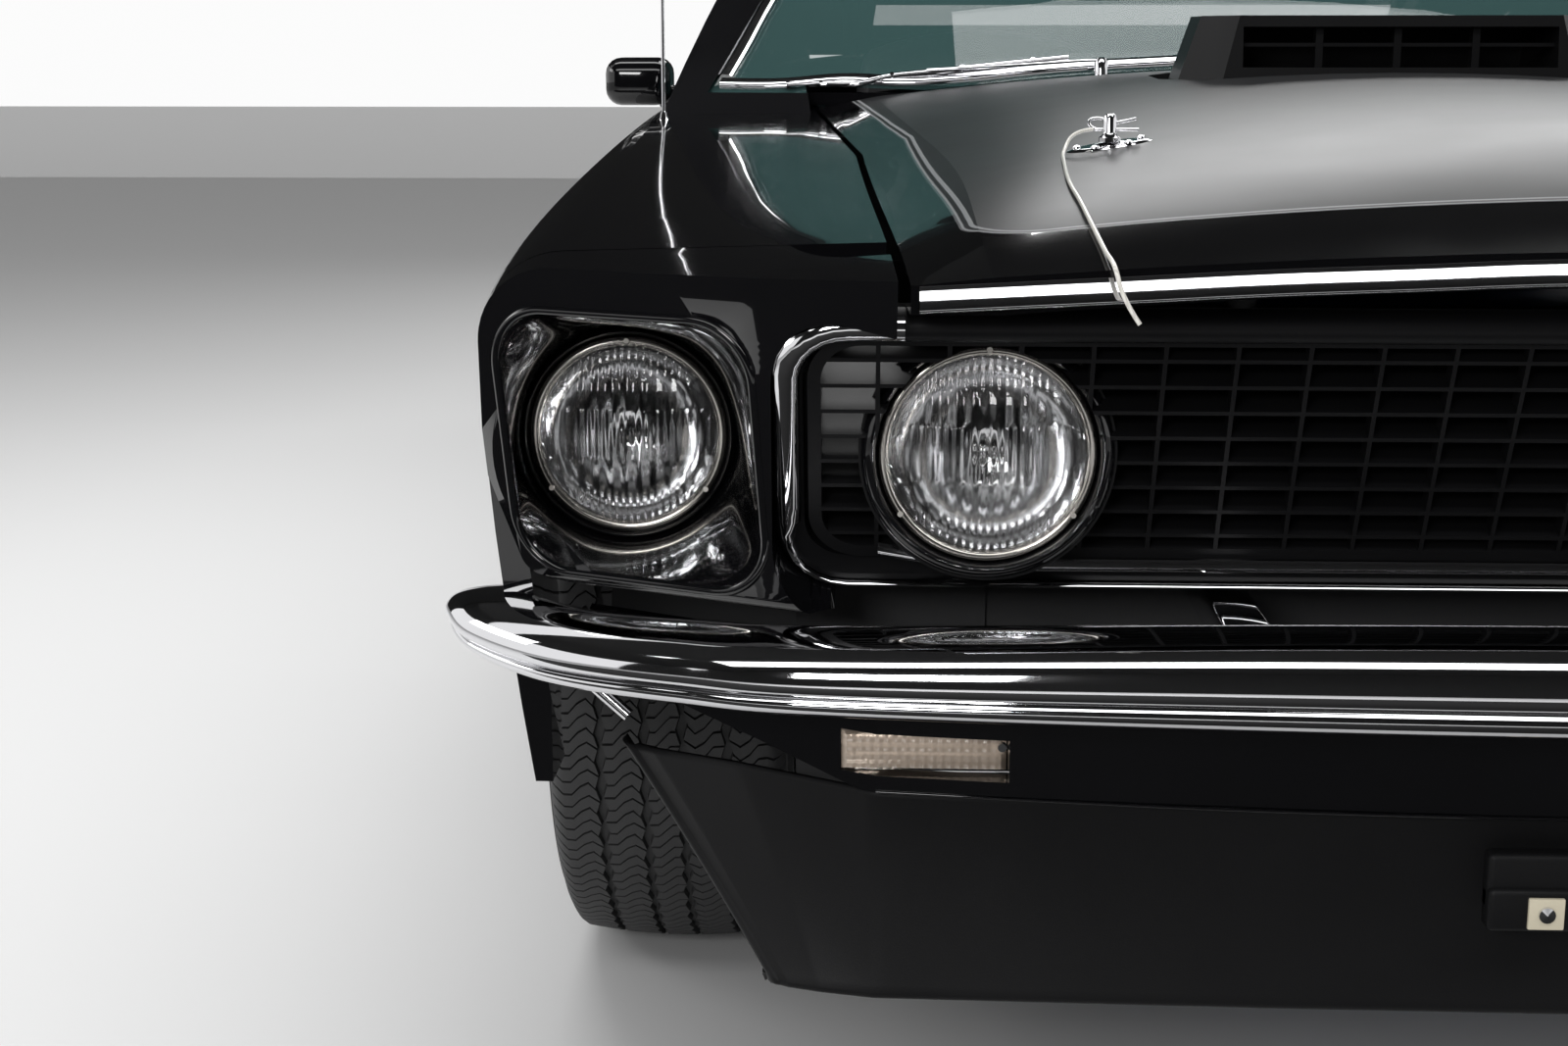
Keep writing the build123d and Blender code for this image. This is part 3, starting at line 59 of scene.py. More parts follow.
# Shader maths: a Value wraps one socket, a Finish is one material
class Value:
    def __init__(self, finish, socket):
        self.finish = finish
        self.socket = socket

    def maths(self, operation, other=0.0, swapped=False):
        first, second = (other, self) if swapped else (self, other)
        return self.finish.add("ShaderNodeMath", {"operation": operation}, {0: first, 1: second})

    def __add__(self, other):
        return self.maths("ADD", other)

    def __radd__(self, other):
        return self.maths("ADD", other, True)

    def __sub__(self, other):
        return self.maths("SUBTRACT", other)

    def __rsub__(self, other):
        return self.maths("SUBTRACT", other, True)

    def __mul__(self, other):
        return self.maths("MULTIPLY", other)

    def __rmul__(self, other):
        return self.maths("MULTIPLY", other, True)

    def __pow__(self, other):
        return self.maths("POWER", other)

    def __lt__(self, other):
        return self.maths("LESS_THAN", other)

    def __abs__(self):
        return self.maths("ABSOLUTE")

    def least(self, other):
        return self.maths("MINIMUM", other)

    def most(self, other):
        return self.maths("MAXIMUM", other)

    def wave(self, period):
        return (self * (2 * pi / period)).maths("SINE")


class Finish:
    def __init__(self, name, **constants):
        self.material = bpy.data.materials.new(name)
        self.material.use_nodes = True
        self.tree = self.material.node_tree
        self.bsdf = self.tree.nodes["Principled BSDF"]
        for key, value in constants.items():
            socket = self.bsdf.inputs[key.replace("_", " ")]
            socket.default_value = (*value, 1) if isinstance(value, tuple) else value

    def add(self, kind, settings=None, sockets=None, output=0):
        node = self.tree.nodes.new(kind)
        for key, value in (settings or {}).items():
            setattr(node, key, value)
        for key, value in (sockets or {}).items():
            if isinstance(value, Value):
                self.tree.links.new(value.socket, node.inputs[key])
            else:
                node.inputs[key].default_value = value
        return Value(self, node.outputs[output])

    def place(self):
        return self.add("ShaderNodeTexCoord", output="Object")

    def axes(self):
        across = self.add("ShaderNodeSeparateXYZ", None, {0: self.place()})
        return across, Value(self, across.socket.node.outputs[1])

    def noise(self, scale, detail=3.0):
        sockets = {"Vector": self.place(), "Scale": scale, "Detail": detail}
        return self.add("ShaderNodeTexNoise", None, sockets, "Fac")

    def tint(self, factor, low, high):
        low, high = [(*colour, 1) if isinstance(colour, tuple) else colour for colour in (low, high)]
        return self.add("ShaderNodeMix", {"data_type": "RGBA"}, {0: factor, 6: low, 7: high}, 2)

    def between(self, factor, low, high):
        return factor * (high - low) + low

    def feed(self, **links):
        for key, value in links.items():
            self.tree.links.new(value.socket, self.bsdf.inputs[key.replace("_", " ")])

    def bump(self, height, distance=0.001, strength=1.0):
        sockets = {"Height": height, "Distance": distance, "Strength": strength}
        self.feed(Normal=self.add("ShaderNodeBump", None, sockets))


# A metal whose sheen varies: haze in patches, and a fine grain
def wornMetal(name, colour, roughness, grain=220.0, metallic=1.0):
    finish = Finish(name, Base_Color=colour, Metallic=metallic, Roughness=roughness)
    haze = finish.noise(9.0, 4.0)
    fine = finish.noise(grain, 2.0)
    finish.feed(Roughness=finish.between(haze * 0.7 + fine * 0.3, roughness * 0.6, roughness * 1.5))
    dull = tuple(part * 0.86 for part in colour)
    finish.feed(Base_Color=finish.tint(haze, colour, dull))
    return finish


# Rubber, plastic or satin paint with a grain of its own
def grained(name, colour, roughness, grain, depth, mottling=0.25, specular=0.5):
    finish = Finish(name, Base_Color=colour, Roughness=roughness, Specular_IOR_Level=specular)
    cells = finish.noise(grain, 3.0)
    soft = finish.noise(7.0, 3.0)
    lighter = tuple(part * (1 + mottling) + 0.002 for part in colour)
    finish.feed(Base_Color=finish.tint(soft, colour, lighter))
    finish.feed(Roughness=finish.between(soft * 0.5 + cells * 0.5, roughness - 0.08, roughness + 0.08))
    finish.bump(cells, depth, 0.6)
    return finish


paintSet = {
    "black": (0.0022, 0.0022, 0.0026),
    "hazy": (0.005, 0.005, 0.006),
    "satin": (0.014, 0.0145, 0.0155),
    "line": (0.2, 0.205, 0.21),
    "specular": 0.12,
}


def glossPaint(name):
    finish = Finish(name, Coat_Roughness=0.015, Coat_Weight=1.0, Specular_IOR_Level=paintSet["specular"])
    haze = finish.noise(5.0, 4.0)
    finish.feed(Roughness=finish.between(haze, 0.05, 0.16))
    finish.feed(Base_Color=finish.tint(haze, paintSet["black"], paintSet["hazy"]))
    finish.bump(finish.noise(420.0, 1.0), 0.00002, 0.12)
    return finish


# Satin centre of the hood inside two thin lines, with the gloss border outside
stripeSet = {
    "front": -2.243,
    "noseY": -2.338,
    "noseHalf": 0.545,
    "flare": 0.039,
    "wheelY": -1.44,
    "rearFlare": 0.075,
    "inset": 0.046,
    "corner": 0.055,
    "lineWidth": 0.0016,
    "gap": 0.0065,
}


def hoodPaint():
    finish = glossPaint("hoodPaint")
    x, y = finish.axes()
    halfWidth = (y - stripeSet["noseY"]) * stripeSet["flare"] + stripeSet["noseHalf"]
    halfWidth = halfWidth + (y - stripeSet["wheelY"]).most(0.0) * stripeSet["rearFlare"]
    sideways = abs(x) - (halfWidth - stripeSet["inset"]) + stripeSet["corner"]
    forward = stripeSet["front"] - y + stripeSet["corner"]
    outside = (sideways.most(0.0) ** 2.0 + forward.most(0.0) ** 2.0) ** 0.5
    distance = outside + sideways.most(forward).least(0.0) - stripeSet["corner"]
    satin = distance < 0.0
    innerLine = abs(distance + stripeSet["gap"]) < stripeSet["lineWidth"]
    lines = innerLine + (abs(distance) < stripeSet["lineWidth"])
    haze = finish.noise(6.0, 4.0)
    colour = finish.tint(satin, paintSet["black"], paintSet["satin"])
    finish.feed(Base_Color=finish.tint(lines, colour, paintSet["line"]))
    finish.feed(Roughness=satin * (haze * 0.08 + 0.27) + (1 - satin) * (haze * 0.1 + 0.05))
    finish.feed(Coat_Weight=1 - satin)
    return finish


paint = glossPaint("blackPaint")
hoodFinish = hoodPaint()
chrome = wornMetal("polishedChrome", (0.82, 0.82, 0.84), 0.045)
steelFinish = wornMetal("dullSteel", (0.33, 0.32, 0.31), 0.38, 90.0)
castFinish = wornMetal("castMetal", (0.23, 0.23, 0.23), 0.5, 60.0)
underFinish = grained("underbodyCoat", (0.018, 0.018, 0.019), 0.62, 160.0, 0.0004)
grainedBlack = grained("grainedBlack", (0.006, 0.006, 0.0065), 0.5, 900.0, 0.00018, specular=0.16)
satinBlack = grained("satinBlack", (0.005, 0.005, 0.0055), 0.38, 700.0, 0.00006, specular=0.15)
rubberFinish = grained("tyreRubber", (0.018, 0.018, 0.0185), 0.62, 500.0, 0.00025, 0.7)
trimFinish = grained("cabinPlastic", (0.02, 0.02, 0.022), 0.55, 800.0, 0.0002)
enginePaint = grained("enginePaint", (0.02, 0.055, 0.16), 0.35, 90.0, 0.0003)


def glassFinish(name, colour, roughness=0.01, clearness=1.0):
    finish = Finish(name, Base_Color=colour, IOR=1.45, Transmission_Weight=clearness)
    finish.feed(Roughness=finish.between(finish.noise(3.0, 4.0), roughness, roughness + 0.02))
    return finish


# Tinted window glass: see-through by Alpha, so that the cabin shows behind its reflections
def windowFinish():
    finish = Finish("windowGlass", Base_Color=(0.06, 0.125, 0.122), IOR=1.45)
    film = finish.noise(2.5, 4.0)
    finish.feed(Alpha=finish.between(film, 0.3, 0.38), Roughness=finish.between(film, 0.0, 0.012))
    return finish


windowGlass = windowFinish()
lensGlass = glassFinish("clearLens", (0.97, 0.98, 0.98))
redLens = glassFinish("redLens", (0.6, 0.02, 0.02), 0.05)
paleAmber = glassFinish("paleAmberLens", (0.9, 0.74, 0.6), 0.12, 0.55)
print("finishes made")


# Closes every piece: merged, facing outwards, on its body, with its place in its mesh
def finishPiece(bm, name, finishes, body, slot, replaced=(), edgeAngle=40):
    bmesh.ops.remove_doubles(bm, verts=bm.verts, dist=0.00002)
    bmesh.ops.recalc_face_normals(bm, faces=bm.faces)
    mesh = bpy.data.meshes.new(name)
    bm.to_mesh(mesh)
    bm.free()
    piece = bpy.data.objects.new(name, mesh)
    bpy.context.collection.objects.link(piece)
    for finish in finishes if isinstance(finishes, list) else [finishes]:
        mesh.materials.append(finish.material)
    mesh.shade_smooth()
    mesh.set_sharp_from_angle(angle=radians(edgeAngle))
    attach(piece, body)
    if replaced:
        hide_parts(*replaced)
    return piece


def giveWall(piece, thickness, offset):
    wall = piece.modifiers.new("wall", "SOLIDIFY")
    wall.thickness = thickness
    wall.offset = offset


# Bends a grid into a surface: place gives the point for each share u across and v along
def gridInto(bm, across, along, place, material=0):
    before = set(bm.faces)
    made = bmesh.ops.create_grid(bm, x_segments=across, y_segments=along, size=1.0)
    for vert in made["verts"]:
        vert.co = place((vert.co.x + 1) / 2, (vert.co.y + 1) / 2)
    for face in set(bm.faces) - before:
        face.material_index = material


# The leg of a chain of points that a share of its whole falls in, and the share of that leg
def legAt(points, share):
    last = len(points) - 1
    position = min(max(share, 0.0), 1.0) * last
    index = min(int(position), last - 1)
    return index, position - index


def smoothThrough(points, share):
    index, t = legAt(points, share)
    spots = [points[min(max(index + step, 0), len(points) - 1)] for step in (-1, 0, 1, 2)]
    result = []
    for a, b, c, d in zip(*spots):
        bend = (2 * a - 5 * b + 4 * c - d) * t**2 + (3 * b - a - 3 * c + d) * t**3
        result.append(0.5 * (2 * b + (c - a) * t + bend))
    return result


def straightThrough(points, share):
    index, t = legAt(points, share)
    return [a + (b - a) * t for a, b in zip(points[index], points[index + 1])]


# A curve given by its half at +x, with the mirror image of that half put before it
def bothSides(half):
    return [(-point[0], *point[1:]) for point in reversed(half[1:])] + half


def roundBar(bm, start, end, radius, sides=16, endRadius=None, material=0):
    direction = Vector(end) - Vector(start)
    turn = direction.to_track_quat("Z", "Y").to_matrix().to_4x4()
    made = bmesh.ops.create_cone(
        bm,
        cap_ends=True,
        segments=sides,
        radius1=radius,
        radius2=radius if endRadius is None else endRadius,
        depth=direction.length,
        matrix=Matrix.Translation((Vector(start) + Vector(end)) / 2) @ turn,
    )
    for face in {face for vert in made["verts"] for face in vert.link_faces}:
        face.material_index = material


def softBox(bm, low, high, rounding=0.004, steps=2, material=0):
    made = bmesh.ops.create_cube(bm, size=1.0)
    for vert in made["verts"]:
        vert.co = Vector([(a + b) / 2 + c * (b - a) for a, b, c in zip(low, high, vert.co)])
    corners = set(made["verts"])
    edges = [edge for edge in bm.edges if edge.verts[0] in corners]
    for face in {face for vert in made["verts"] for face in vert.link_faces}:
        face.material_index = material
    bmesh.ops.bevel(
        bm, geom=edges, offset=rounding, segments=steps, profile=0.5, affect="EDGES", material=-1
    )


# A box that is given by its middle along x, as for pairs of brackets
def blockAt(bm, x, half, low, high, rounding=0.004, steps=2, material=0):
    softBox(bm, (x - half, *low), (x + half, *high), rounding, steps, material)


# A turned shape: outline holds (radius, distance along the axis)
def turned(bm, centre, outline, axis="Y", steps=64, material=0):
    spin = {"X": (1, 0, 0), "Y": (0, 1, 0), "Z": (0, 0, 1)}[axis]
    verts = []
    for radius, along in outline:
        offset = {"X": (along, radius, 0), "Y": (radius, along, 0), "Z": (radius, 0, along)}[axis]
        verts.append(bm.verts.new(Vector(centre) + Vector(offset)))
    edges = [bm.edges.new(pair) for pair in zip(verts, verts[1:])]
    before = set(bm.faces)
    bmesh.ops.spin(bm, geom=verts + edges, cent=centre, axis=spin, angle=2 * pi, steps=steps, use_merge=True)
    for face in set(bm.faces) - before:
        face.material_index = material


def pipe(bm, points, radius, steps=40, sides=10, flat=1.0):
    def place(u, v):
        middle = Vector(smoothThrough(points, u))
        ahead = Vector(smoothThrough(points, min(u + 0.01, 1.0)))
        behind = Vector(smoothThrough(points, max(u - 0.01, 0.0)))
        run = (ahead - behind).normalized()
        side = run.cross(Vector((0, 0, 1)) if abs(run.z) < 0.9 else Vector((0, 1, 0))).normalized()
        rise = side.cross(run)
        return middle + side * radius * cos(2 * pi * v) + rise * radius * flat * sin(2 * pi * v)

    gridInto(bm, steps, sides, place)


# The point and the normal where a ray meets a solid from the frame
def onNode(node, start, direction):
    hit, place, normal, _ = cadNodes[node].ray_cast(Vector(start), Vector(direction))
    return (place, normal) if hit else (None, None)


# Lanyards: thin cables in clear plastic, from the clip of each pin over the front edge of the hood
lanyardSet = {"diameter": 0.003, "length": 0.531}
lanyardRoute = [
    (0.388, -1.88, 0.859), (0.404, -1.884, 0.858), (0.413, -1.9, 0.8416), (0.416, -1.935, 0.8396),
    (0.419, -1.99, 0.8364), (0.4225, -2.05, 0.8322), (0.424, -2.108, 0.8276), (0.423, -2.166, 0.822),
    (0.4225, -2.222, 0.815), (0.421, -2.275, 0.8066), (0.4195, -2.318, 0.799), (0.417, -2.3515, 0.7945),
    (0.4125, -2.3545, 0.775), (0.4015, -2.356, 0.759),
]
cableFinish = Finish("plasticOverCable", Base_Color=(0.72, 0.7, 0.64), Roughness=0.3, Coat_Weight=0.6)
x, y = cableFinish.axes()
strands = (y + x * 0.7).wave(0.0022)
cableFinish.feed(Base_Color=cableFinish.tint(strands * 0.5 + 0.5, (0.62, 0.6, 0.55), (0.8, 0.78, 0.72)))
cableFinish.bump(strands, 0.0001, 0.3)
for word, side in (("left", 1), ("right", -1)):
    curve = bpy.data.curves.new("lanyard_" + word, "CURVE")
    curve.dimensions = "3D"
    curve.bevel_depth = lanyardSet["diameter"] / 2
    curve.bevel_resolution = 4
    curve.resolution_u = 8
    curve.use_fill_caps = True
    spline = curve.splines.new("NURBS")
    spline.points.add(len(lanyardRoute) - 1)
    for point, (x, y, z) in zip(spline.points, lanyardRoute):
        point.co = (side * x, y, z, 1)
    spline.order_u = 3
    spline.use_endpoint_u = True
    curve.materials.append(cableFinish.material)
    lanyard = bpy.data.objects.new("cable_" + word, curve)
    bpy.context.collection.objects.link(lanyard)
    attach(lanyard, "hood_panel")
    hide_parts("lanyard_" + word)
print("lanyards laid")

# Carried-over nodes keep their shape and get their own finish
nodeFinishes = {
    paint: ["cowl", "roof_shell", "quarters", "fenders", "tail_panel", "front_valance", "boot_lid"],
    hoodFinish: ["hood"],
    underFinish: ["floor_pan", "front_structure", "radiator_support", "firewall", "rear_structure"],
    satinBlack: ["grille", "hood_scoop", "rear_louvre"],
    windowGlass: ["windshield", "rear_glass", "door_glass_left", "door_glass_right"],
    enginePaint: ["engine_block"],
    steelFinish: ["exhaust", "fuel_tank"],
    castFinish: ["knuckle_left", "knuckle_right", "front_suspension", "rear_axle"],
    trimFinish: ["dashboard"],
}
nodeFinishes[paint] += ["door_left", "door_right"]
for finish, names in nodeFinishes.items():
    for name in names:
        cadNodes[name].material_slots[0].material = finish.material
print("node finishes set")

# Front bumper: a bowed blade whose ends curl round the corners
bumperSet = {
    "stations": [
        (0.0, -2.3782, 0.501, 0.564), (0.3, -2.367, 0.5, 0.56), (0.59, -2.332, 0.496, 0.547),
        (0.7, -2.295, 0.494, 0.541), (0.79, -2.249, 0.493, 0.537), (0.853, -2.189, 0.497, 0.535),
        (0.878, -2.135, 0.504, 0.532), (0.88, -2.106, 0.508, 0.528),
    ],
    "profile": [
        (0.052, 0.97), (0.044, 1.0), (0.03, 0.985), (0.016, 0.9), (0.0065, 0.76), (0.0015, 0.58),
        (0.0, 0.42), (0.0015, 0.33), (0.0055, 0.29), (0.0055, 0.25), (0.003, 0.19), (0.003, 0.12),
        (0.008, 0.03), (0.02, -0.02), (0.032, 0.0),
    ],
    "bracket": (0.315, 0.015, (-2.345, 0.526), (-2.1165, 0.55), 0.002),
    "wall": 0.0025,
}


def bumperPoint(stations, facing):
    full = bothSides(stations)

    def place(u, v):
        x, y, low, top = smoothThrough(full, u)
        ahead = smoothThrough(full, min(u + 0.004, 1.0))
        behind = smoothThrough(full, max(u - 0.004, 0.0))
        run = Vector((ahead[0] - behind[0], ahead[1] - behind[1])).normalized()
        inset, share = smoothThrough(bumperSet["profile"], v)
        return Vector((x - run.y * inset * facing, y + run.x * inset * facing, low + (top - low) * share))

    return place


def bumperBlade(name, node, stations, facing, steps, bracket):
    bm = bmesh.new()
    gridInto(bm, steps, 42, bumperPoint(stations, facing))
    for side in (-1, 1):
        blockAt(bm, side * bracket[0], *bracket[1:])
    giveWall(finishPiece(bm, name, chrome, "body", "bright_metal", [node], 50), bumperSet["wall"], 0)


bumperBlade("frontBumperBlade", "front_bumper", bumperSet["stations"], 1, 120, bumperSet["bracket"])
print("front bumper made")

# Bright moulding on the front edge of the hood
mouldingSet = {
    "lip": [
        (0, 0.8015), (0.14, 0.8005), (0.229, 0.797), (0.319, 0.7935), (0.402, 0.789), (0.47, 0.7855),
        (0.536, 0.782),
    ],
    "profile": [
        (0.0, -0.0025), (0.0012, -0.0028), (0.0046, -0.0085), (0.0072, -0.0145), (0.0078, -0.0168),
        (0.006, -0.0185), (0.0, -0.0185),
    ],
    "rear": -2.3382,
}


def mouldingPoint(u, v):
    x, z = smoothThrough(bothSides(mouldingSet["lip"]), u)
    forward, drop = smoothThrough(mouldingSet["profile"], v)
    return Vector((x, mouldingSet["rear"] - forward, z + drop))


bm = bmesh.new()
gridInto(bm, 64, 16, mouldingPoint)
bmesh.ops.holes_fill(bm, edges=[edge for edge in bm.edges if edge.is_boundary])
finishPiece(bm, "hoodMoulding", chrome, "hood_panel", "bright_metal", ["hood_moulding"], 50)

# Grille frame: a bright flange that narrows along the bottom, a dark step, and a thin bright inner line
frameSet = {
    "halfWidth": 0.6315,
    "low": 0.557,
    "top": 0.755,
    "corner": 0.05,
    "lean": 24.0,
    "topY": -2.282,
    "topZ": 0.743,
    "band": 0.0225,
    "flange": 0.018,
    "thin": 0.005,
    "darkAbove": 0.728,
    "darkInside": 0.5435,
}
leanTan = tan(radians(frameSet["lean"]))
leanCos = cos(radians(frameSet["lean"]))
leanSin = sin(radians(frameSet["lean"]))


def onGrille(x, z, lift=0.0):
    y = frameSet["topY"] + (frameSet["topZ"] - z) * leanTan
    return Vector((x, y - lift * leanCos, z - lift * leanSin))


# A point on a rectangle with round corners, and the way out from it
def roundedLoop(halfWidth, halfHeight, corner, share):
    straightX, straightZ = halfWidth - corner, halfHeight - corner
    lengths = [2 * straightX, corner * pi / 2, 2 * straightZ, corner * pi / 2] * 2
    walk = (share % 1.0) * sum(lengths)
    leg = 0
    while walk > lengths[leg] and leg < 7:
        walk -= lengths[leg]
        leg += 1
    signs = [(1, -1), (1, 1), (-1, 1), (-1, -1)][leg // 2]
    turn = (leg // 2) * pi / 2 - pi / 2
    if leg % 2:
        angle = turn + walk / corner
        out = (cos(angle), sin(angle))
        return (signs[0] * straightX + corner * out[0], signs[1] * straightZ + corner * out[1], *out)
    out = (cos(turn), sin(turn))
    starts = [(-straightX, -halfHeight), (halfWidth, -straightZ), (straightX, halfHeight)]
    x, z = [*starts, (-halfWidth, straightZ)][leg // 2]
    return (x - out[1] * walk, z + out[0] * walk, *out)


def framePoint(u, v):
    middle = (frameSet["top"] + frameSet["low"]) / 2
    halfHeight = (frameSet["top"] - frameSet["low"]) / 2 / leanCos
    x, z, outX, outZ = roundedLoop(frameSet["halfWidth"], halfHeight, frameSet["corner"], u)
    narrow = max(0.0, -outZ)
    sideways = 1 - narrow**0.6
    flange = frameSet["thin"] + (frameSet["flange"] - frameSet["thin"]) * sideways
    band = frameSet["band"] if outZ < 0.5 else frameSet["band"] * 0.6
    steps = [
        (0.0, -0.012),
        (0.0, 0.0),
        (flange * 0.18, 0.005),
        (flange * 0.5, 0.0075),
        (flange * 0.8, 0.006),
        (flange, 0.002),
        (flange + 0.0004, -0.003),
        (band - 0.002, -0.0045),
        (band - 0.0015, -0.013),
    ]
    inset, lift = straightThrough(steps, v)
    point = onGrille(0, middle + (z - outZ * inset) * leanCos, lift)
    point.x = x - outX * inset
    return point


bm = bmesh.new()
gridInto(bm, 240, 8, framePoint)
for face in bm.faces:
    centre = face.calc_center_median()
    depth = (centre - onGrille(0, centre.z)).dot(Vector((0, -leanCos, -leanSin)))
    inside = abs(centre.x) < frameSet["halfWidth"] - 0.004 and centre.z > frameSet["low"] + 0.003
    top = centre.z > frameSet["darkAbove"] and abs(centre.x) < frameSet["darkInside"]
    if (depth < -0.0015 and inside) or top:
        face.material_index = 1
finishPiece(bm, "grilleFrame", [chrome, satinBlack], "body", "bright_metal", ["grille_trim"])

# Thin bright line that closes the grille's dark band along the bottom
lineSet = {
    "profile": [
        (-0.0015, 0.0), (-0.0006, 0.0012), (0.001, 0.003), (0.003, 0.0045), (0.0048, 0.0048),
        (0.0056, 0.002),
    ],
    "half": 0.56,
    "level": 0.5785,
    "endRise": 0.012,
    "lift": 0.0045,
}


def linePoint(u, v):
    drop, lift = straightThrough(lineSet["profile"], v)
    x = lineSet["half"] * (2 * u - 1)
    rise = lineSet["endRise"] * max(0.0, abs(x) - 0.5) / 0.06
    return onGrille(x, lineSet["level"] - drop + rise, lift + lineSet["lift"])


bm = bmesh.new()
gridInto(bm, 40, 5, linePoint)
finishPiece(bm, "grilleLowerLine", chrome, "body", "bright_metal", (), 35)
print("grille frame made")

# Headlamps: fluted glass, mirror bowl with a shield, bright ring, and a dark collar round the inner ones
lampSet = {
    "spots": [(0.748, -2.075, 0.64, False), (0.487, -2.24, 0.657, True)],
    "glassRadius": 0.068,
    "dome": 0.0135,
    "flute": 0.0054,
    "fluteDepth": 0.0016,
    "bands": (-0.042, -0.018, 0.02, 0.043),
    "bead": (0.0006, 0.0022),
    "bowl": [
        (0.0671, 0.003), (0.064, 0.012), (0.055, 0.026), (0.042, 0.038), (0.026, 0.046), (0.012, 0.049),
        (0.0005, 0.0495),
    ],
    "shield": [(0.0005, 0.016), (0.009, 0.018), (0.0115, 0.022), (0.0115, 0.034), (0.0005, 0.036)],
    "ring": [
        (0.0665, 0.002), (0.0672, -0.0035), (0.0695, -0.006), (0.0725, -0.0055), (0.0747, -0.001),
        (0.0747, 0.012),
    ],
    "collar": [
        (0.0752, 0.004), (0.0756, -0.009), (0.078, -0.0125), (0.082, -0.011), (0.0865, -0.002),
        (0.087, 0.014),
    ],
    "seat": [(0.0752, 0.004), (0.0757, -0.004), (0.078, -0.006), (0.0805, -0.003), (0.0808, 0.004)],
    "screws": (90, 215, 325),
    "screwCircle": (0.0712, -0.0052),
    "screwHead": (0.0026, 0.002, 0.0022),
}
mirrorBowl = wornMetal("lampMirror", (0.95, 0.95, 0.96), 0.11, 60.0)
rustyRing = wornMetal("lampRing", (0.62, 0.59, 0.55), 0.2, 140.0)
collarFinish = glossPaint("lampCollar")


def lensPoint(centre):
    radius = lampSet["glassRadius"]

    def place(u, v):
        x = radius * 0.9995 * (2 * u - 1)
        z = (radius**2 - x**2) ** 0.5 * (2 * v - 1)
        share = (x**2 + z**2) / radius**2
        y = -lampSet["dome"] * (1 - share)
        if share < 0.94:
            band = sum(z > height for height in lampSet["bands"])
            phase = x / lampSet["flute"] * (0.5 if band % 2 else 1.0)
            y += lampSet["fluteDepth"] * abs(phase % 1.0 - 0.5) * 2
            nearest = min(abs(z - height) for height in lampSet["bands"])
            y += lampSet["bead"][0] * max(0.0, 1 - nearest / lampSet["bead"][1])
        return Vector(centre) + Vector((x, y, z))

    return place


bm = bmesh.new()
for x, y, z, inner in lampSet["spots"]:
    for side in (-1, 1):
        centre = (side * x, y, z)
        gridInto(bm, 104, 56, lensPoint(centre))
        trim = "collar" if inner else "seat"
        for part, steps, material in (("bowl", 48, 1), ("shield", 24, 1), ("ring", 72, 2), (trim, 72, 3)):
            turned(bm, centre, lampSet[part], "Y", steps, material)
        circle, ahead = lampSet["screwCircle"]
        wide, narrow, tall = lampSet["screwHead"]
        for angle in lampSet["screws"]:
            offset = Vector((circle * cos(radians(angle)), ahead, circle * sin(radians(angle))))
            spot = Vector(centre) + offset
            roundBar(bm, spot, spot + Vector((0, -tall, 0)), wide, 12, narrow, 2)
lampFinishes = [lensGlass, mirrorBowl, rustyRing, collarFinish]
finishPiece(bm, "headlampUnits", lampFinishes, "body", "lamp_glass", ["headlamps"], 60)
print("headlamps made")

# Parking lamps in the valance: a lens ribbed both ways, its housing and a screw
parkingSet = {
    "x": 0.527,
    "z": 0.447,
    "face": -2.236,
    "halfWidth": 0.0575,
    "halfHeight": 0.0147,
    "rib": 0.0062,
    "relief": (0.006, 0.0026, 0.002),
    "housing": (0.0635, 0.022),
    "housingDepth": (0.012, 0.03),
    "screw": (0.473, 0.451),
}


def parkingPoint(side, u, v):
    x = parkingSet["halfWidth"] * (2 * u - 1)
    z = parkingSet["halfHeight"] * (2 * v - 1)
    edge = min(1.0, min(1 - abs(2 * u - 1), (1 - abs(2 * v - 1)) * 0.4) * 14)
    acrossRib = abs((x / parkingSet["rib"]) % 1.0 - 0.5)
    alongRib = abs((z / parkingSet["rib"]) % 1.0 - 0.5)
    dome, acrossDepth, alongDepth = parkingSet["relief"]
    y = parkingSet["face"] - edge * (dome + acrossDepth * acrossRib + alongDepth * alongRib)
    return Vector((side * parkingSet["x"] + x, y, parkingSet["z"] + z))


bm = bmesh.new()
face, level = parkingSet["face"], parkingSet["z"]
half, tall = parkingSet["housing"]
near, far = [face + depth for depth in parkingSet["housingDepth"]]
for side in (-1, 1):
    gridInto(bm, 84, 32, lambda u, v: parkingPoint(side, u, v))
    blockAt(bm, side * parkingSet["x"], half, (near, level - tall), (far, level + tall), 0.003, 2, 1)
    spot = Vector((side * parkingSet["screw"][0], face - 0.006, parkingSet["screw"][1]))
    roundBar(bm, spot, spot + Vector((0, -0.003, 0)), 0.0038, 16, 0.003, 2)
parkingFinishes = [paleAmber, mirrorBowl, chrome]
finishPiece(bm, "parkingLampUnits", parkingFinishes, "body", "amber_lens", ["parking_lamps"], 50)
print("parking lamps made")

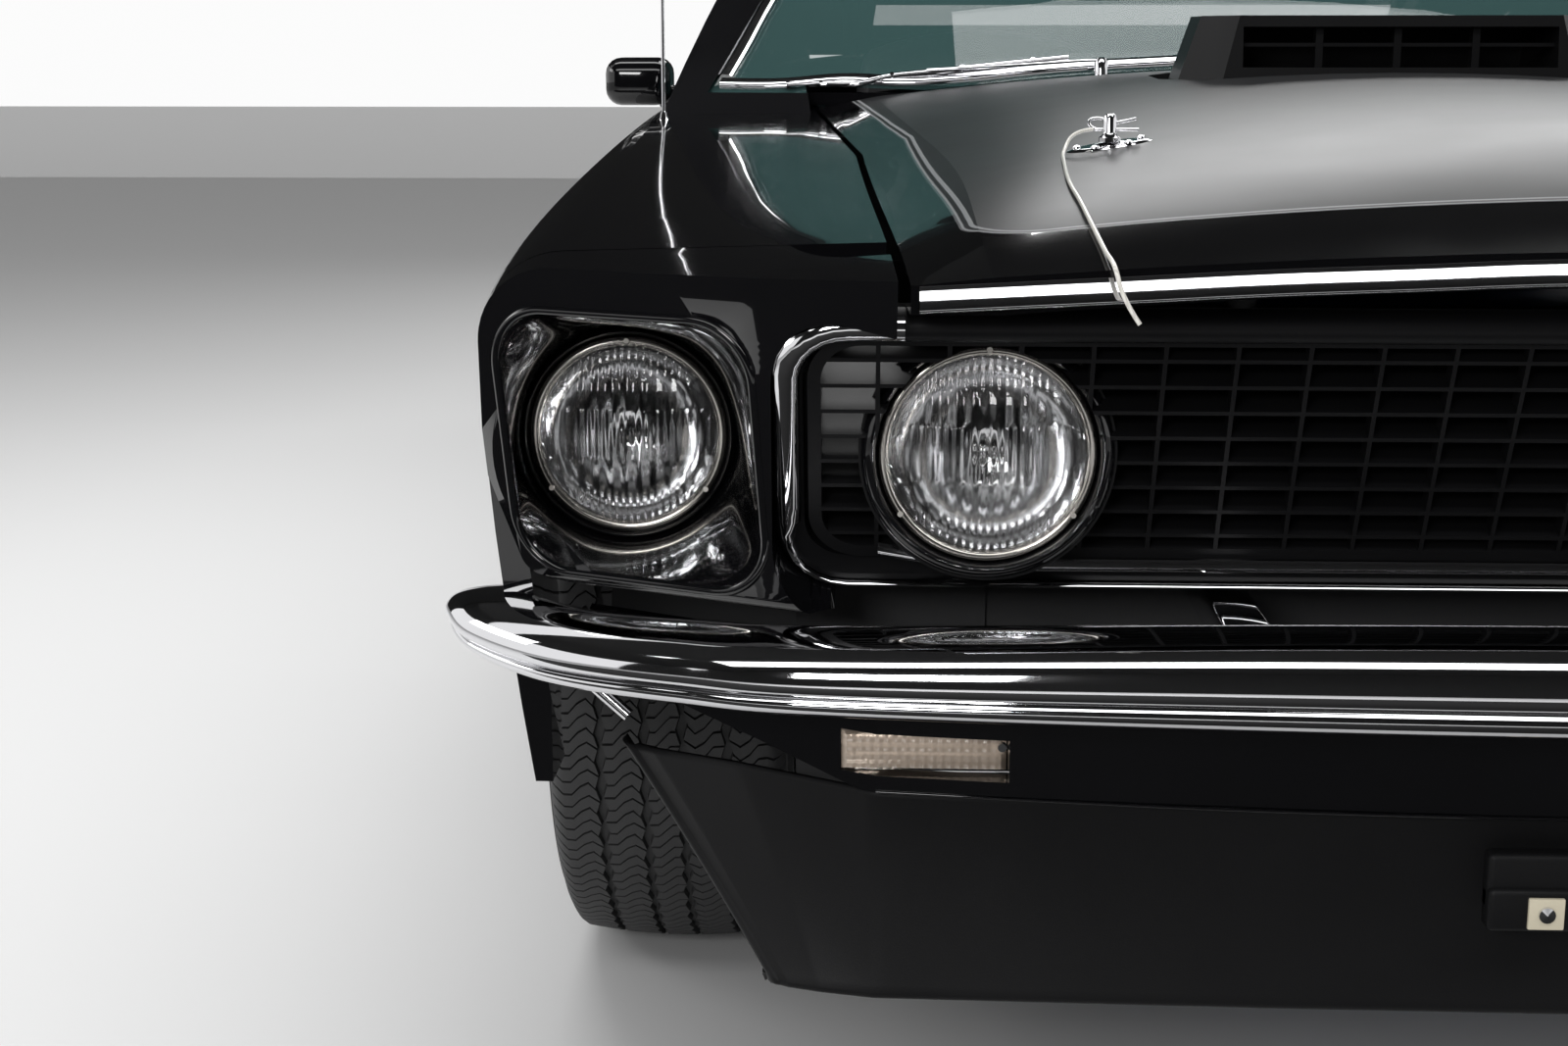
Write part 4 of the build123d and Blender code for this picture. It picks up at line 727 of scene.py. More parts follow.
# Hood pins: an oval plate with four screws, a drilled stud and a hairpin clip
pinSet = {
    "x": 0.374,
    "y": -1.88,
    "long": 0.0345,
    "short": 0.0255,
    "top": 0.872,
    "clip": 0.859,
    "plate": [(0.0002,), (0.0016,), (0.002,), (0.0018,), (0.0018,), (0.0026,), (0.0034,), (0.0034,)],
    "stud": [(0.0088, 0.003), (0.0088, 0.0065), (0.0062, 0.0085), (0.0056, 0.011)],
    "screws": ((0.026, 0.006), (-0.026, 0.006), (0.0135, -0.0175), (-0.0135, -0.0175)),
    "screw": [(0.0036, 0.0015), (0.0034, 0.0031), (0.0022, 0.0041), (0.0001, 0.0043)],
    "wire": 0.0014,
    "reach": 0.0138,
    "hairpin": [
        (-1.7, 0.0, 0.0), (-0.6, 0.0, 0.0), (0.7, 0.0, 0.0), (1.15, 0.004, 0.003), (1.1, 0.008, 0.0075),
        (0.5, 0.0085, 0.0085), (-0.1, 0.0075, 0.005), (-0.8, 0.0092, 0.006), (-1.6, 0.0085, 0.0085),
    ],
}


def onHood(x, y):
    place, _ = onNode("hood", (x, y, 1.4), (0, 0, -1))
    return place.z if place else 0.846


def platePoint(side, u, v):
    reach = 0.9995 * (1 - v) + 0.0005
    x = side * pinSet["x"] + pinSet["long"] * reach * cos(2 * pi * u)
    y = pinSet["y"] + pinSet["short"] * reach * sin(2 * pi * u)
    return Vector((x, y, onHood(x, y) + straightThrough(pinSet["plate"], v)[0]))


for side, word in ((-1, "Right"), (1, "Left")):
    bm = bmesh.new()
    gridInto(bm, 48, 14, lambda u, v: platePoint(side, u, v))
    x, y = side * pinSet["x"], pinSet["y"]
    foot = onHood(x, y)
    rise = pinSet["top"] - foot
    tip = [(0.0056, rise - 0.004), (0.0046, rise - 0.0012), (0.0025, rise), (0.0001, rise)]
    turned(bm, (x, y, foot), pinSet["stud"] + tip, "Z", 28)
    for dx, dy in pinSet["screws"]:
        turned(bm, (x + dx, y + dy, onHood(x + dx, y + dy)), pinSet["screw"], "Z", 16)
    out = side * pinSet["reach"]
    hairpin = [(x + out * along, y + back, pinSet["clip"] + up) for along, back, up in pinSet["hairpin"]]
    pipe(bm, hairpin, pinSet["wire"], 64, 10)
    finishPiece(bm, f"hoodPin{word}", chrome, "hood_panel", "steel", ["hood_pins"])
print("hood pins made")

# Chin spoiler: a moulded sheet with a rolled end and a thick lower lip
spoilerSet = {
    "top": [
        (0.0, -2.2865), (0.28, -2.277), (0.56, -2.2485), (0.66, -2.19), (0.728, -2.137), (0.743, -2.12),
    ],
    "low": [
        (0.0, -2.2705), (0.28, -2.2685), (0.56, -2.2625), (0.598, -2.254), (0.621, -2.2465),
        (0.627, -2.243),
    ],
    "edge": [0.4195, 0.4195, 0.4195, 0.4195, 0.4125, 0.41],
    "foot": 0.2745,
    "dish": 0.007,
    "lipFrom": 0.86,
    "lip": (0.0055, 0.0045),
    "lipTurn": 162,
    "rollFrom": 0.93,
    "roll": (0.0099, 0.014),
    "rollTurn": 111.6,
    "wall": 0.004,
}
spoilerEnds = [
    (*top, edge, *low, spoilerSet["foot"])
    for top, edge, low in zip(spoilerSet["top"], spoilerSet["edge"], spoilerSet["low"])
]


def spoilerPoint(u, v):
    side = -1 if u < 0.5 else 1
    out = abs(2 * u - 1)
    lipFrom, rollFrom = spoilerSet["lipFrom"], spoilerSet["rollFrom"]
    ends = straightThrough(spoilerEnds, min(out / rollFrom, 1.0))
    drop = min(v / lipFrom, 1.0)
    x, y, z = [top + (low - top) * drop for top, low in zip(ends[:3], ends[3:])]
    y += spoilerSet["dish"] * 4 * drop * (1 - drop)
    if v > lipFrom:  # thick lower lip
        turn = radians(spoilerSet["lipTurn"]) * (v - lipFrom) / (1 - lipFrom)
        y += spoilerSet["lip"][0] * (1 - cos(turn))
        z -= spoilerSet["lip"][1] * sin(turn)
    if out > rollFrom:  # rolled end
        turn = radians(spoilerSet["rollTurn"]) * (out - rollFrom) / (1 - rollFrom)
        x += spoilerSet["roll"][0] * sin(turn)
        y += spoilerSet["roll"][1] * (1 - cos(turn))
    return Vector((side * x, y, z))


bm = bmesh.new()
gridInto(bm, 180, 34, spoilerPoint)
spoiler = finishPiece(bm, "chinSpoilerSkin", grainedBlack, "body", "grained_black", ["chin_spoiler"], 70)
giveWall(spoiler, spoilerSet["wall"], -1)
print("spoiler made")

# Tyres: five ribs with zigzag grooves and slots, built as one pitch and repeated round the wheel
tyreSet = {
    "pitches": 72,
    "crown": 0.3308,
    "drop": 0.0088,
    "ribs": [(-0.096, -0.063, 0.005), (-0.055, -0.0215, 0.0042), (-0.0135, 0.0135, 0.003)],
    "groove": 0.0065,
    "zigzag": 0.0021,
    "slant": 0.3,
    "slantPeriod": 0.041,
    "along": [
        (0.0, 1), (0.07, 1), (0.08, 0), (0.5, 0), (0.51, 0.8), (0.565, 0.8), (0.575, 0), (0.99, 0),
        (1.0, 1),
    ],
    "shoulder": [(0.1015, 0.3185, 0.004), (0.1045, 0.3145, 0.003), (0.1085, 0.307, 0.0008)],
    "wall": [
        (0.1112, 0.2985), (0.1118, 0.294), (0.1136, 0.2925), (0.1156, 0.2815), (0.117, 0.27),
        (0.1176, 0.259), (0.117, 0.2445), (0.1157, 0.2325), (0.1139, 0.2305), (0.112, 0.219),
        (0.1085, 0.209), (0.103, 0.2015),
    ],
}
sideWall = tyreSet["shoulder"] + [(x, radius, 0) for x, radius in tyreSet["wall"]]
ribs = tyreSet["ribs"] + [(-high, -low, cut) for low, high, cut in reversed(tyreSet["ribs"][:2])]


def crownAt(x):
    return tyreSet["crown"] - tyreSet["drop"] * (x / 0.098) ** 2


# The tyre's section: (place across, radius, depth of its slots, whether it lies on an edge of a rib)
section = [(-x, radius, cut, 0) for x, radius, cut in reversed(sideWall)]
for low, high, cut in ribs:
    for step in range(5):
        x = low + (high - low) * step / 4
        section.append((x, crownAt(x), cut, 0 if 0 < step < 4 else 1))
    if high < 0.09:
        for x in (high + 0.0009, high + 0.0071):
            section.append((x, crownAt(x) - tyreSet["groove"], 0, 1))
section += [(x, radius, cut, 0) for x, radius, cut in sideWall]


def tyrePoint(u, v):
    x, radius, cut, edge = section[round(u * (len(section) - 1))]
    along, deep = tyreSet["along"][round(v * 8)]
    slant = tyreSet["slant"] * sin(2 * pi * min(max(x, -0.1), 0.1) / tyreSet["slantPeriod"])
    angle = (along + slant) * 2 * pi / tyreSet["pitches"]
    radius -= cut * deep
    if edge and abs(x) < 0.09:
        x += tyreSet["zigzag"] * (abs(2 * along - 1) * 2 - 1)
    return Vector((x, radius * sin(angle), radius * cos(angle)))


pitch = bmesh.new()
gridInto(pitch, len(section) - 1, 8, tyrePoint)
turns = tyreSet["pitches"] - 1
bmesh.ops.spin(
    pitch,
    geom=pitch.verts[:] + pitch.edges[:] + pitch.faces[:],
    cent=(0, 0, 0),
    axis=(1, 0, 0),
    angle=2 * pi * turns / tyreSet["pitches"],
    steps=turns,
    use_duplicate=True,
)
bmesh.ops.remove_doubles(pitch, verts=pitch.verts, dist=0.00005)

# Rims: polished lip, five tapered spokes, centre cap, hexagonal nuts, valve and brake drum
rimSet = {
    "barrel": [
        (0.2045, 0.1095), (0.2058, 0.113), (0.2045, 0.1149), (0.2, 0.1149), (0.1955, 0.1125),
        (0.1895, 0.1095), (0.1878, 0.1), (0.186, 0.07), (0.1795, 0.045), (0.1765, 0.02), (0.1765, -0.02),
        (0.1865, -0.1145), (0.2045, -0.1145), (0.2045, -0.1095),
    ],
    "cap": [
        (0.036, 0.03), (0.036, 0.044), (0.033, 0.05), (0.0285, 0.0515), (0.0275, 0.0495), (0.018, 0.053),
        (0.0001, 0.0545),
    ],
    "hub": [(0.0715, 0.003), (0.0715, 0.0275), (0.067, 0.0315), (0.05, 0.0325), (0.0365, 0.0325)],
    "drum": [(0.1, -0.06), (0.1375, -0.06), (0.1375, 0.012), (0.13, 0.017), (0.072, 0.017)],
    "spokes": 5,
    "spokeHalf": 0.032,
    "spokeWaist": 0.0055,
    "spokeRun": (0.06, 0.1225),
    "spokeFace": {"height": 0.034, "rise": 0.006, "flatHalf": 0.62, "drop": 0.026, "groove": 0.0035},
    "nutCircle": 0.057,
    "nut": ((0.03, 0.0105), (0.046, 0.0098)),
    "stud": ((0.046, 0.0078), (0.0515, 0.004)),
    "valve": ((0.088, 0.0, -0.183), (0.1105, 0.0, -0.178)),
}


def spokePoint(turn, u, v):
    x = 2 * u - 1
    face = rimSet["spokeFace"]
    width = rimSet["spokeHalf"] - rimSet["spokeWaist"] * sin(pi * v)
    sloped = max(0.0, abs(x) - face["flatHalf"]) / (1 - face["flatHalf"])
    groove = face["groove"] if abs(x) < 0.3 and 0.12 < v < 0.9 else 0.0
    height = face["height"] + face["rise"] * v - face["drop"] * sloped**1.6 - groove
    start, run = rimSet["spokeRun"]
    return turn @ Vector((height, width * x, start + run * v))


rim = bmesh.new()
for part, steps, material in (("barrel", 96, 0), ("hub", 64, 0), ("cap", 48, 2), ("drum", 64, 3)):
    turned(rim, (0, 0, 0), rimSet[part], "X", steps, material)
for spoke in range(rimSet["spokes"]):
    turn = Matrix.Rotation(2 * pi * spoke / rimSet["spokes"], 4, "X")
    gridInto(rim, 10, 18, lambda u, v: spokePoint(turn, u, v))
    hole = turn @ Matrix.Rotation(pi / 5, 4, "X") @ Vector((0, 0, rimSet["nutCircle"]))
    for part, sides in (("nut", 6), ("stud", 18)):
        (near, wide), (far, narrow) = rimSet[part]
        roundBar(rim, hole + Vector((near, 0, 0)), hole + Vector((far, 0, 0)), wide, sides, narrow, 2)
roundBar(rim, *rimSet["valve"], 0.0028, 12, 0.0028, 3)

drumFinish = wornMetal("brakeDrum", (0.09, 0.08, 0.072), 0.55, 90.0, 0.7)
spokeFinish = wornMetal("spokeMetal", (0.36, 0.365, 0.37), 0.3, 160.0)
wheelFinishes = [spokeFinish, chrome, chrome, drumFinish]
for end in ("front", "rear"):
    for word, turn in (("left", 0), ("right", pi)):
        node = f"{end}_{word}"
        low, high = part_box(f"tyre_{node}")
        facing = Matrix.Translation([(a + b) / 2 for a, b in zip(low, high)]) @ Matrix.Rotation(turn, 4, "Z")
        for source, kind, finishes, slot, angle in (
            (pitch, "tyre", rubberFinish, "tyre_rubber", 38),
            (rim, "rim", wheelFinishes, "rim_paint", 32),
        ):
            bm = source.copy()
            bmesh.ops.transform(bm, matrix=facing, verts=bm.verts)
            name = kind + end.title() + word.title()
            finishPiece(bm, name, finishes, f"wheel_{node}", slot, [f"{kind}_{node}"], angle)
pitch.free()
rim.free()
print("wheels made")

# Bright trim round the windscreen, laid along the edge of the glass that rays from ahead find
def screenEdge(starts, step, inset):
    def hit(x, z, steps):
        return onNode("windshield", (x + step[0] * steps, -3.0, z + step[1] * steps), (0, 1, 0))

    laid = []
    for x, z in starts:
        steps = 0
        while hit(x, z, steps)[0] is None and steps < 89:
            steps += 1
        place, normal = hit(x, z, steps + inset)
        laid.append((*place, *normal))
    return laid


# A half-round strip along rows of (point, normal)
def strip(bm, laid, width, height, steps=60, material=0):
    profile = [(-0.5, 0.0), (-0.46, 0.7), (-0.3, 1.0), (0.0, 1.1), (0.3, 1.0), (0.46, 0.7), (0.5, 0.0)]

    def place(u, v):
        here = smoothThrough(laid, u)
        ahead = smoothThrough(laid, min(u + 0.02, 1.0))
        behind = smoothThrough(laid, max(u - 0.02, 0.0))
        middle, normal = Vector(here[:3]), Vector(here[3:]).normalized()
        run = (Vector(ahead[:3]) - Vector(behind[:3])).normalized()
        sideways, lift = straightThrough(profile, v)
        return middle + run.cross(normal) * width * sideways + normal * height * lift

    gridInto(bm, steps, 12, place, material)


screenSet = {
    "baseHalf": 0.757,
    "baseZ": 0.862,
    "baseStrip": (0.02, 0.005),
    "pillarX": 0.79,
    "pillarZ": (0.884, 1.198),
    "pillarStrip": (0.024, 0.006),
    "step": 0.002,
    "inset": 4,
}
bm = bmesh.new()
base = [(screenSet["baseHalf"] * (step / 10 - 1), screenSet["baseZ"]) for step in range(21)]
strip(bm, screenEdge(base, (0, screenSet["step"]), screenSet["inset"]), *screenSet["baseStrip"], 90)
lowZ, highZ = screenSet["pillarZ"]
for side in (-1, 1):
    pillar = [(side * screenSet["pillarX"], lowZ + (highZ - lowZ) * step / 8) for step in range(9)]
    laid = screenEdge(pillar, (-side * screenSet["step"], 0), screenSet["inset"])
    strip(bm, laid, *screenSet["pillarStrip"], 40)
finishPiece(bm, "screenTrim", chrome, "body", "bright_metal", (), 60)
print("screen trim made")

# Nose corners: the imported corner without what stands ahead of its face, and a rolled rim round the bucket
noseSet = {
    "spot": (0.734, -2.2095, 0.651),
    "normal": (0.477, -1.0, -0.18),
    "half": (0.103, 0.0975),
    "turn": 0.044,
    "bead": 0.0036,
    "seat": 0.0803,
}


def rimPoint(side):
    slope = noseSet["normal"]
    out = Vector((side * slope[0], slope[1], slope[2])).normalized()
    spot = Vector((side * noseSet["spot"][0], *noseSet["spot"][1:]))
    level = Vector((1, side * slope[0], 0)).normalized()
    rise = out.cross(level)

    def place(u, v):
        x, z, outX, outZ = roundedLoop(*noseSet["half"], noseSet["turn"], u)
        middle = spot + level * x + rise * z - out * noseSet["bead"] * 0.35
        away = level * outX + rise * outZ
        return middle + (away * cos(2 * pi * v) + out * sin(2 * pi * v)) * noseSet["bead"]

    return out, spot, place


# The bucket's lining, from the rolled rim back to the seat of the lamp
def linerPoint(side):
    edge = rimPoint(side)[2]
    lampX, lampY, lampZ, _ = lampSet["spots"][0]

    def place(u, v):
        start = edge(u, 0.5)
        angle = atan2(start.z - lampZ, start.x - side * lampX)
        radius = noseSet["seat"]
        seat = Vector((side * lampX + radius * cos(angle), lampY - 0.001, lampZ + radius * sin(angle)))
        point = start.lerp(seat, v)
        point.y = start.y + (seat.y - start.y) * v**1.3
        return point

    return place


bm = bmesh.new()
bm.from_mesh(cadNodes["nose_corners"].data)
bmesh.ops.remove_doubles(bm, verts=bm.verts, dist=0.00001)
for side in (-1, 1):
    out, spot, _ = rimPoint(side)
    verts = [vert for vert in bm.verts if vert.co.x * side > 0]
    edges = [edge for edge in bm.edges if edge.verts[0].co.x * side > 0]
    faces = [face for face in bm.faces if face.verts[0].co.x * side > 0]
    cutAt = spot + out * 0.0004
    bmesh.ops.bisect_plane(bm, geom=verts + edges + faces, plane_co=cutAt, plane_no=out, clear_outer=True)
bmesh.ops.holes_fill(bm, edges=[edge for edge in bm.edges if edge.is_boundary])
for side in (-1, 1):
    gridInto(bm, 176, 12, rimPoint(side)[2])
    gridInto(bm, 128, 14, linerPoint(side))
finishPiece(bm, "noseCornerPanels", paint, "body", "body_paint", ["nose_corners"], 32)
print("nose corners made")

# Door mirrors: a rounded gloss housing on a foot, with its glass facing back
mirrorSet = {
    "arm": 0.016,
    "rounding": 0.021,
    "rim": 0.006,
    "lift": 0.004,
    "glass": (0.006, 0.0015),
    "footX": 0.0175,
    "footHalf": 0.0165,
    "footY": (0.058, 0.026),
    "footTall": 0.03,
}
for side, word in ((1, "left"), (-1, "right")):
    low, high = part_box(f"mirror_{word}")
    inner, outer = (low[0], high[0]) if side > 0 else (high[0], low[0])
    near, far = sorted((inner + side * mirrorSet["arm"], outer))
    rim = mirrorSet["rim"]
    bottom = low[2] + mirrorSet["lift"]
    glassNear, glassFar = [high[1] - depth for depth in mirrorSet["glass"]]
    footNear, footFar = [high[1] - depth for depth in mirrorSet["footY"]]
    footTop = low[2] + mirrorSet["footTall"]
    bm = bmesh.new()
    softBox(bm, (near, low[1], bottom), (far, high[1] - 0.004, high[2]), mirrorSet["rounding"], 5)
    glassLow = (near + rim * 2, glassNear, bottom + rim * 1.4)
    softBox(bm, glassLow, (far - rim * 2, glassFar, high[2] - rim * 1.4), 0.002, 2, 1)
    footX = inner + side * mirrorSet["footX"]
    blockAt(bm, footX, mirrorSet["footHalf"], (footNear, low[2]), (footFar, footTop), 0.005, 3)
    name = f"doorMirror{word.title()}"
    finishPiece(bm, name, [paint, mirrorBowl], f"{word}_door", "body_paint", [f"mirror_{word}"])
print("mirrors made")

# Wipers: a sprung arm from its pivot to a slim bright blade with a rubber lip
wiperSet = {
    "blades": [
        ((-0.674, 0.868), (-0.326, 0.903), (-0.29, -0.951)),
        ((-0.06, 0.908), (0.33, 0.904), (0.372, -0.945)),
    ],
    "pivotTop": 0.907,
    "pivotZ": 0.852,
    "pivot": [
        (0.0098, 0), (0.0098, 0.02), (0.0085, 0.03), (0.0085, 0.052), (0.006, 0.0585), (0.0001, 0.0595),
    ],
    "lift": 0.0045,
    "blade": (0.0075, 0.0045),
    "lip": (0.0035, 0.003),
    "clip": (0.0052, 0.0042, 0.003),
    "arm": 0.0034,
}


def lifted(rows, lift):
    return [(*(Vector(row[:3]) + Vector(row[3:]) * lift), *row[3:]) for row in rows]


bm = bmesh.new()
for outer, inner, pivot in wiperSet["blades"]:
    starts = [straightThrough([outer, inner], step / 8) for step in range(9)]
    laid = lifted(screenEdge(starts, (0, screenSet["step"]), 1), wiperSet["lift"])
    strip(bm, laid, *wiperSet["blade"])
    strip(bm, lifted(laid, -0.0035), *wiperSet["lip"], 60, 1)
    middle, normal = Vector(laid[4][:3]), Vector(laid[4][3:])
    tall, wide, narrow = wiperSet["clip"]
    for step in (1, 3, 5, 7):
        spot = Vector(laid[step][:3])
        roundBar(bm, spot, spot + normal * tall, wide, 12, narrow)
    foot = Vector((*pivot, wiperSet["pivotTop"]))
    top = middle + normal * 0.005
    arm = [foot, foot.lerp(top, 0.12) + Vector((0, 0, 0.001)), foot.lerp(top, 0.5), top]
    pipe(bm, arm, wiperSet["arm"], 30, 10, 0.55)
    turned(bm, (*pivot, wiperSet["pivotZ"]), wiperSet["pivot"], "Z", 24)
finishPiece(bm, "wiperSet", [chrome, rubberFinish], "body", "bright_metal", ["wipers"])

# Antenna: a stepped bright base with a nut, and a thin mast with a bead on its tip
antennaSet = {
    "base": [
        (0.0138, 0.806), (0.0138, 0.822), (0.0105, 0.827), (0.0085, 0.829), (0.0085, 0.838), (0.005, 0.842),
        (0.0035, 0.847), (0.0021, 0.849), (0.0021, 0.846),
    ],
    "mast": 0.0021,
}
low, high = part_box("antenna")
tip = [(antennaSet["mast"], high[2] - 0.006), (0.0022, high[2] - 0.003), (0.0001, high[2])]
bm = bmesh.new()
turned(bm, ((low[0] + high[0]) / 2, (low[1] + high[1]) / 2, 0.0), antennaSet["base"] + tip, "Z", 24)
finishPiece(bm, "antennaMast", chrome, "body", "bright_metal", ["antenna"])
print("wipers and antenna made")

# Rear bumper: a slimmer blade with the same rolled section
rearSet = {
    "stations": [
        (0.0, 2.3782, 0.42, 0.5), (0.4, 2.366, 0.42, 0.5), (0.72, 2.344, 0.421, 0.499),
        (0.81, 2.318, 0.422, 0.498), (0.866, 2.28, 0.424, 0.496), (0.889, 2.22, 0.426, 0.494),
        (0.892, 2.15, 0.43, 0.49), (0.892, 2.092, 0.44, 0.482),
    ],
    "bracket": (0.3, 0.014, (2.31, 0.446), (2.365, 0.474), 0.003),
}
bumperBlade("rearBumperBlade", "rear_bumper", rearSet["stations"], -1, 110, rearSet["bracket"])

# Tail lamps: three upright ribbed lenses a side in bright surrounds, and a plain filler cap between them
tailSet = {
    "lenses": 3,
    "middle": (0.425, 0.72),
    "width": 0.066,
    "height": 0.118,
    "pitch": 0.083,
    "rib": 0.0085,
    "relief": (0.0055, 0.0012),
    "bezel": (0.006, 0.066),
}


def tailPoint(centre, u, v):
    x, z = tailSet["width"] * (u - 0.5), tailSet["height"] * (v - 0.5)
    edge = min(1.0, min(1 - abs(2 * u - 1), (1 - abs(2 * v - 1)) * 1.8) * 8)
    proud, depth = tailSet["relief"]
    rib = depth * abs(((z / tailSet["rib"]) % 1.0) - 0.5)
    return Vector(centre) + Vector((x, edge * (proud - rib), z))


low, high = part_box("tail_lamps")
face = high[1] - 0.006
middleX, level = tailSet["middle"]
edgeX, tall = tailSet["bezel"]
bm = bmesh.new()
for side in (-1, 1):
    for index in range(tailSet["lenses"]):
        x = side * (middleX + (index - 1) * tailSet["pitch"])
        half = tailSet["width"] / 2 + edgeX
        blockAt(bm, x, half, (low[1], level - tall), (face, level + tall), 0.005, 3, 1)
        gridInto(bm, 20, 56, lambda u, v: tailPoint((x, face, level), u, v))
finishPiece(bm, "tailLampUnits", [redLens, chrome], "body", "red_lens", ["tail_lamps"])
capOutline = [
    (0.062, -0.002), (0.062, 0.004), (0.058, 0.0075), (0.05, 0.0065), (0.047, 0.004), (0.03, 0.0055),
    (0.0001, 0.006),
]
bm = bmesh.new()
turned(bm, onNode("tail_panel", (0, 3.0, level), (0, -1, 0))[0], capOutline)
finishPiece(bm, "fillerCap", chrome, "body", "bright_metal")
print("rear bumper, tail lamps and filler cap made")

# Door handles: a pull between two feet, and a round lock below the rear one
handleSet = {
    "y": 0.26,
    "z": 0.69,
    "half": 0.07,
    "reach": 0.0105,
    "pull": 0.0072,
    "lockDrop": 0.04,
    "foot": [(0.013, 0.0005), (0.0125, 0.0035), (0.008, 0.0055), (0.0001, 0.006)],
    "barrel": [(0.011, 0.0005), (0.0105, 0.003), (0.006, 0.0038), (0.0001, 0.0038)],
}
for side, word in ((1, "left"), (-1, "right")):
    bm = bmesh.new()
    half = handleSet["half"]
    onDoor = []
    for along, drop in ((-half, 0), (0, 0), (half, 0), (half, handleSet["lockDrop"])):
        start = (side * 1.3, handleSet["y"] + along, handleSet["z"] - drop)
        onDoor.append(onNode(f"door_{word}", start, (-side, 0, 0))[0])
    start, middle, end, lock = onDoor
    reach = Vector((side * handleSet["reach"], 0, 0))
    pull = [start + reach * 0.1, start + reach, middle + reach * 1.15, end + reach, end + reach * 0.1]
    pipe(bm, pull, handleSet["pull"], 48, 14, 0.6)
    for spot, outline, steps in ((start, "foot", 28), (end, "foot", 28), (lock, "barrel", 24)):
        turned(bm, spot, [(radius, side * out) for radius, out in handleSet[outline]], "X", steps)
    finishPiece(bm, f"doorHandle{word.title()}", chrome, f"{word}_door", "bright_metal")
print("door handles made")

# Dark sheets behind both ends of the grille: painted shade that stands in for the dark space inside the nose
shadeSheetSet = {
    "path": [(0.6296, -2.258), (0.6296, -2.165), (0.618, -2.152), (0.59, -2.15), (0.4, -2.148)],
    "low": 0.566,
    "top": 0.742,
    "leanShare": 0.25,
}


def shadeSheetPoint(side, u, v):
    x, y = straightThrough(shadeSheetSet["path"], u)
    z = shadeSheetSet["low"] + (shadeSheetSet["top"] - shadeSheetSet["low"]) * v
    lean = max(0.0, 1 - u / shadeSheetSet["leanShare"]) * (frameSet["topZ"] - z) * leanTan
    return Vector((side * x, y + lean, z))


bm = bmesh.new()
for side in (-1, 1):
    gridInto(bm, 16, 8, lambda u, v: shadeSheetPoint(side, u, v))
# satin black sheets as painted shade behind the grille ends, hiding the lit bucket behind them
finishPiece(bm, "grilleEndShadeSheets", satinBlack, "body", "underbody")

# Small things round the bumper: end bolts, clips at the corners and the dark plate bracket on the spoiler
clipFinish = grained("paleClip", (0.55, 0.5, 0.38), 0.45, 300.0, 0.0001)
fixingSet = {
    "clip": ((0.759, -2.226, 0.4885), (0.733, -2.234, 0.468)),
    "bolt": (0.428, -2.245, 0.474),
    "head": [(0.0125, 0.006), (0.0125, -0.001), (0.0105, -0.004), (0.005, -0.0055), (0.0001, -0.006)],
    "plateBar": (0, 0.151, (-2.301, 0.358), (-2.285, 0.399), 0.004, 3),
    "plateEar": (0.121, 0.03, (-2.306, 0.346), (-2.287, 0.376), 0.004, 3),
    "plateClip": (0.113, 0.012, (-2.3085, 0.349), (-2.305, 0.371), 0.001, 2, 1),
    "screwAt": (0.113, -2.3085, 0.36),
    "screw": [(0.006, 0.001), (0.0055, -0.002), (0.0001, -0.0028)],
}
bm = bmesh.new()
for side in (-1, 1):
    start, end = [(side * x, y, z) for x, y, z in fixingSet["clip"]]
    roundBar(bm, start, end, 0.0052, 14, 0.0046)
    turned(bm, (side * fixingSet["bolt"][0], *fixingSet["bolt"][1:]), fixingSet["head"], steps=24)
finishPiece(bm, "bumperFixings", chrome, "body", "bright_metal")
bm = bmesh.new()
blockAt(bm, *fixingSet["plateBar"])
for side in (-1, 1):
    for part in ("plateEar", "plateClip"):
        x, *block = fixingSet[part]
        blockAt(bm, side * x, *block)
    x, y, z = fixingSet["screwAt"]
    turned(bm, (side * x, y, z), fixingSet["screw"], "Y", 16, 2)
finishPiece(bm, "plateBracket", [grainedBlack, clipFinish, chrome], "body", "grained_black")
print("small fixings made")

# Seats: soft cushions with sewn channels, on the upper face or on the front one
vinylFinish = grained("blackVinyl", (0.018, 0.018, 0.02), 0.42, 600.0, 0.00022)
seatSet = {
    "softness": 0.42,
    "channel": 0.0045,
    "cuts": 17,
    "sides": (0.148, 0.622),
    "cushion": ((-0.328, 0.268), (0.19, 0.446)),
    "back": ((0.128, 0.33), (0.262, 0.95)),
    "backInset": 0.01,
    "backLean": 0.2,
    "pan": ((-0.3, 0.262), (0.18, 0.284)),
    "panInset": 0.02,
    "rails": (0.26, 0.56),
    "rail": (0.018, (-0.25, 0.2), (0.12, 0.272)),
    "rearCushion": ((-0.588, 0.566, 0.33), (0.588, 1.0, 0.468)),
    "rearBack": ((-0.588, 0.93, 0.42), (0.588, 1.03, 0.876)),
    "rearLean": 0.1,
    "rearChannels": 10,
}


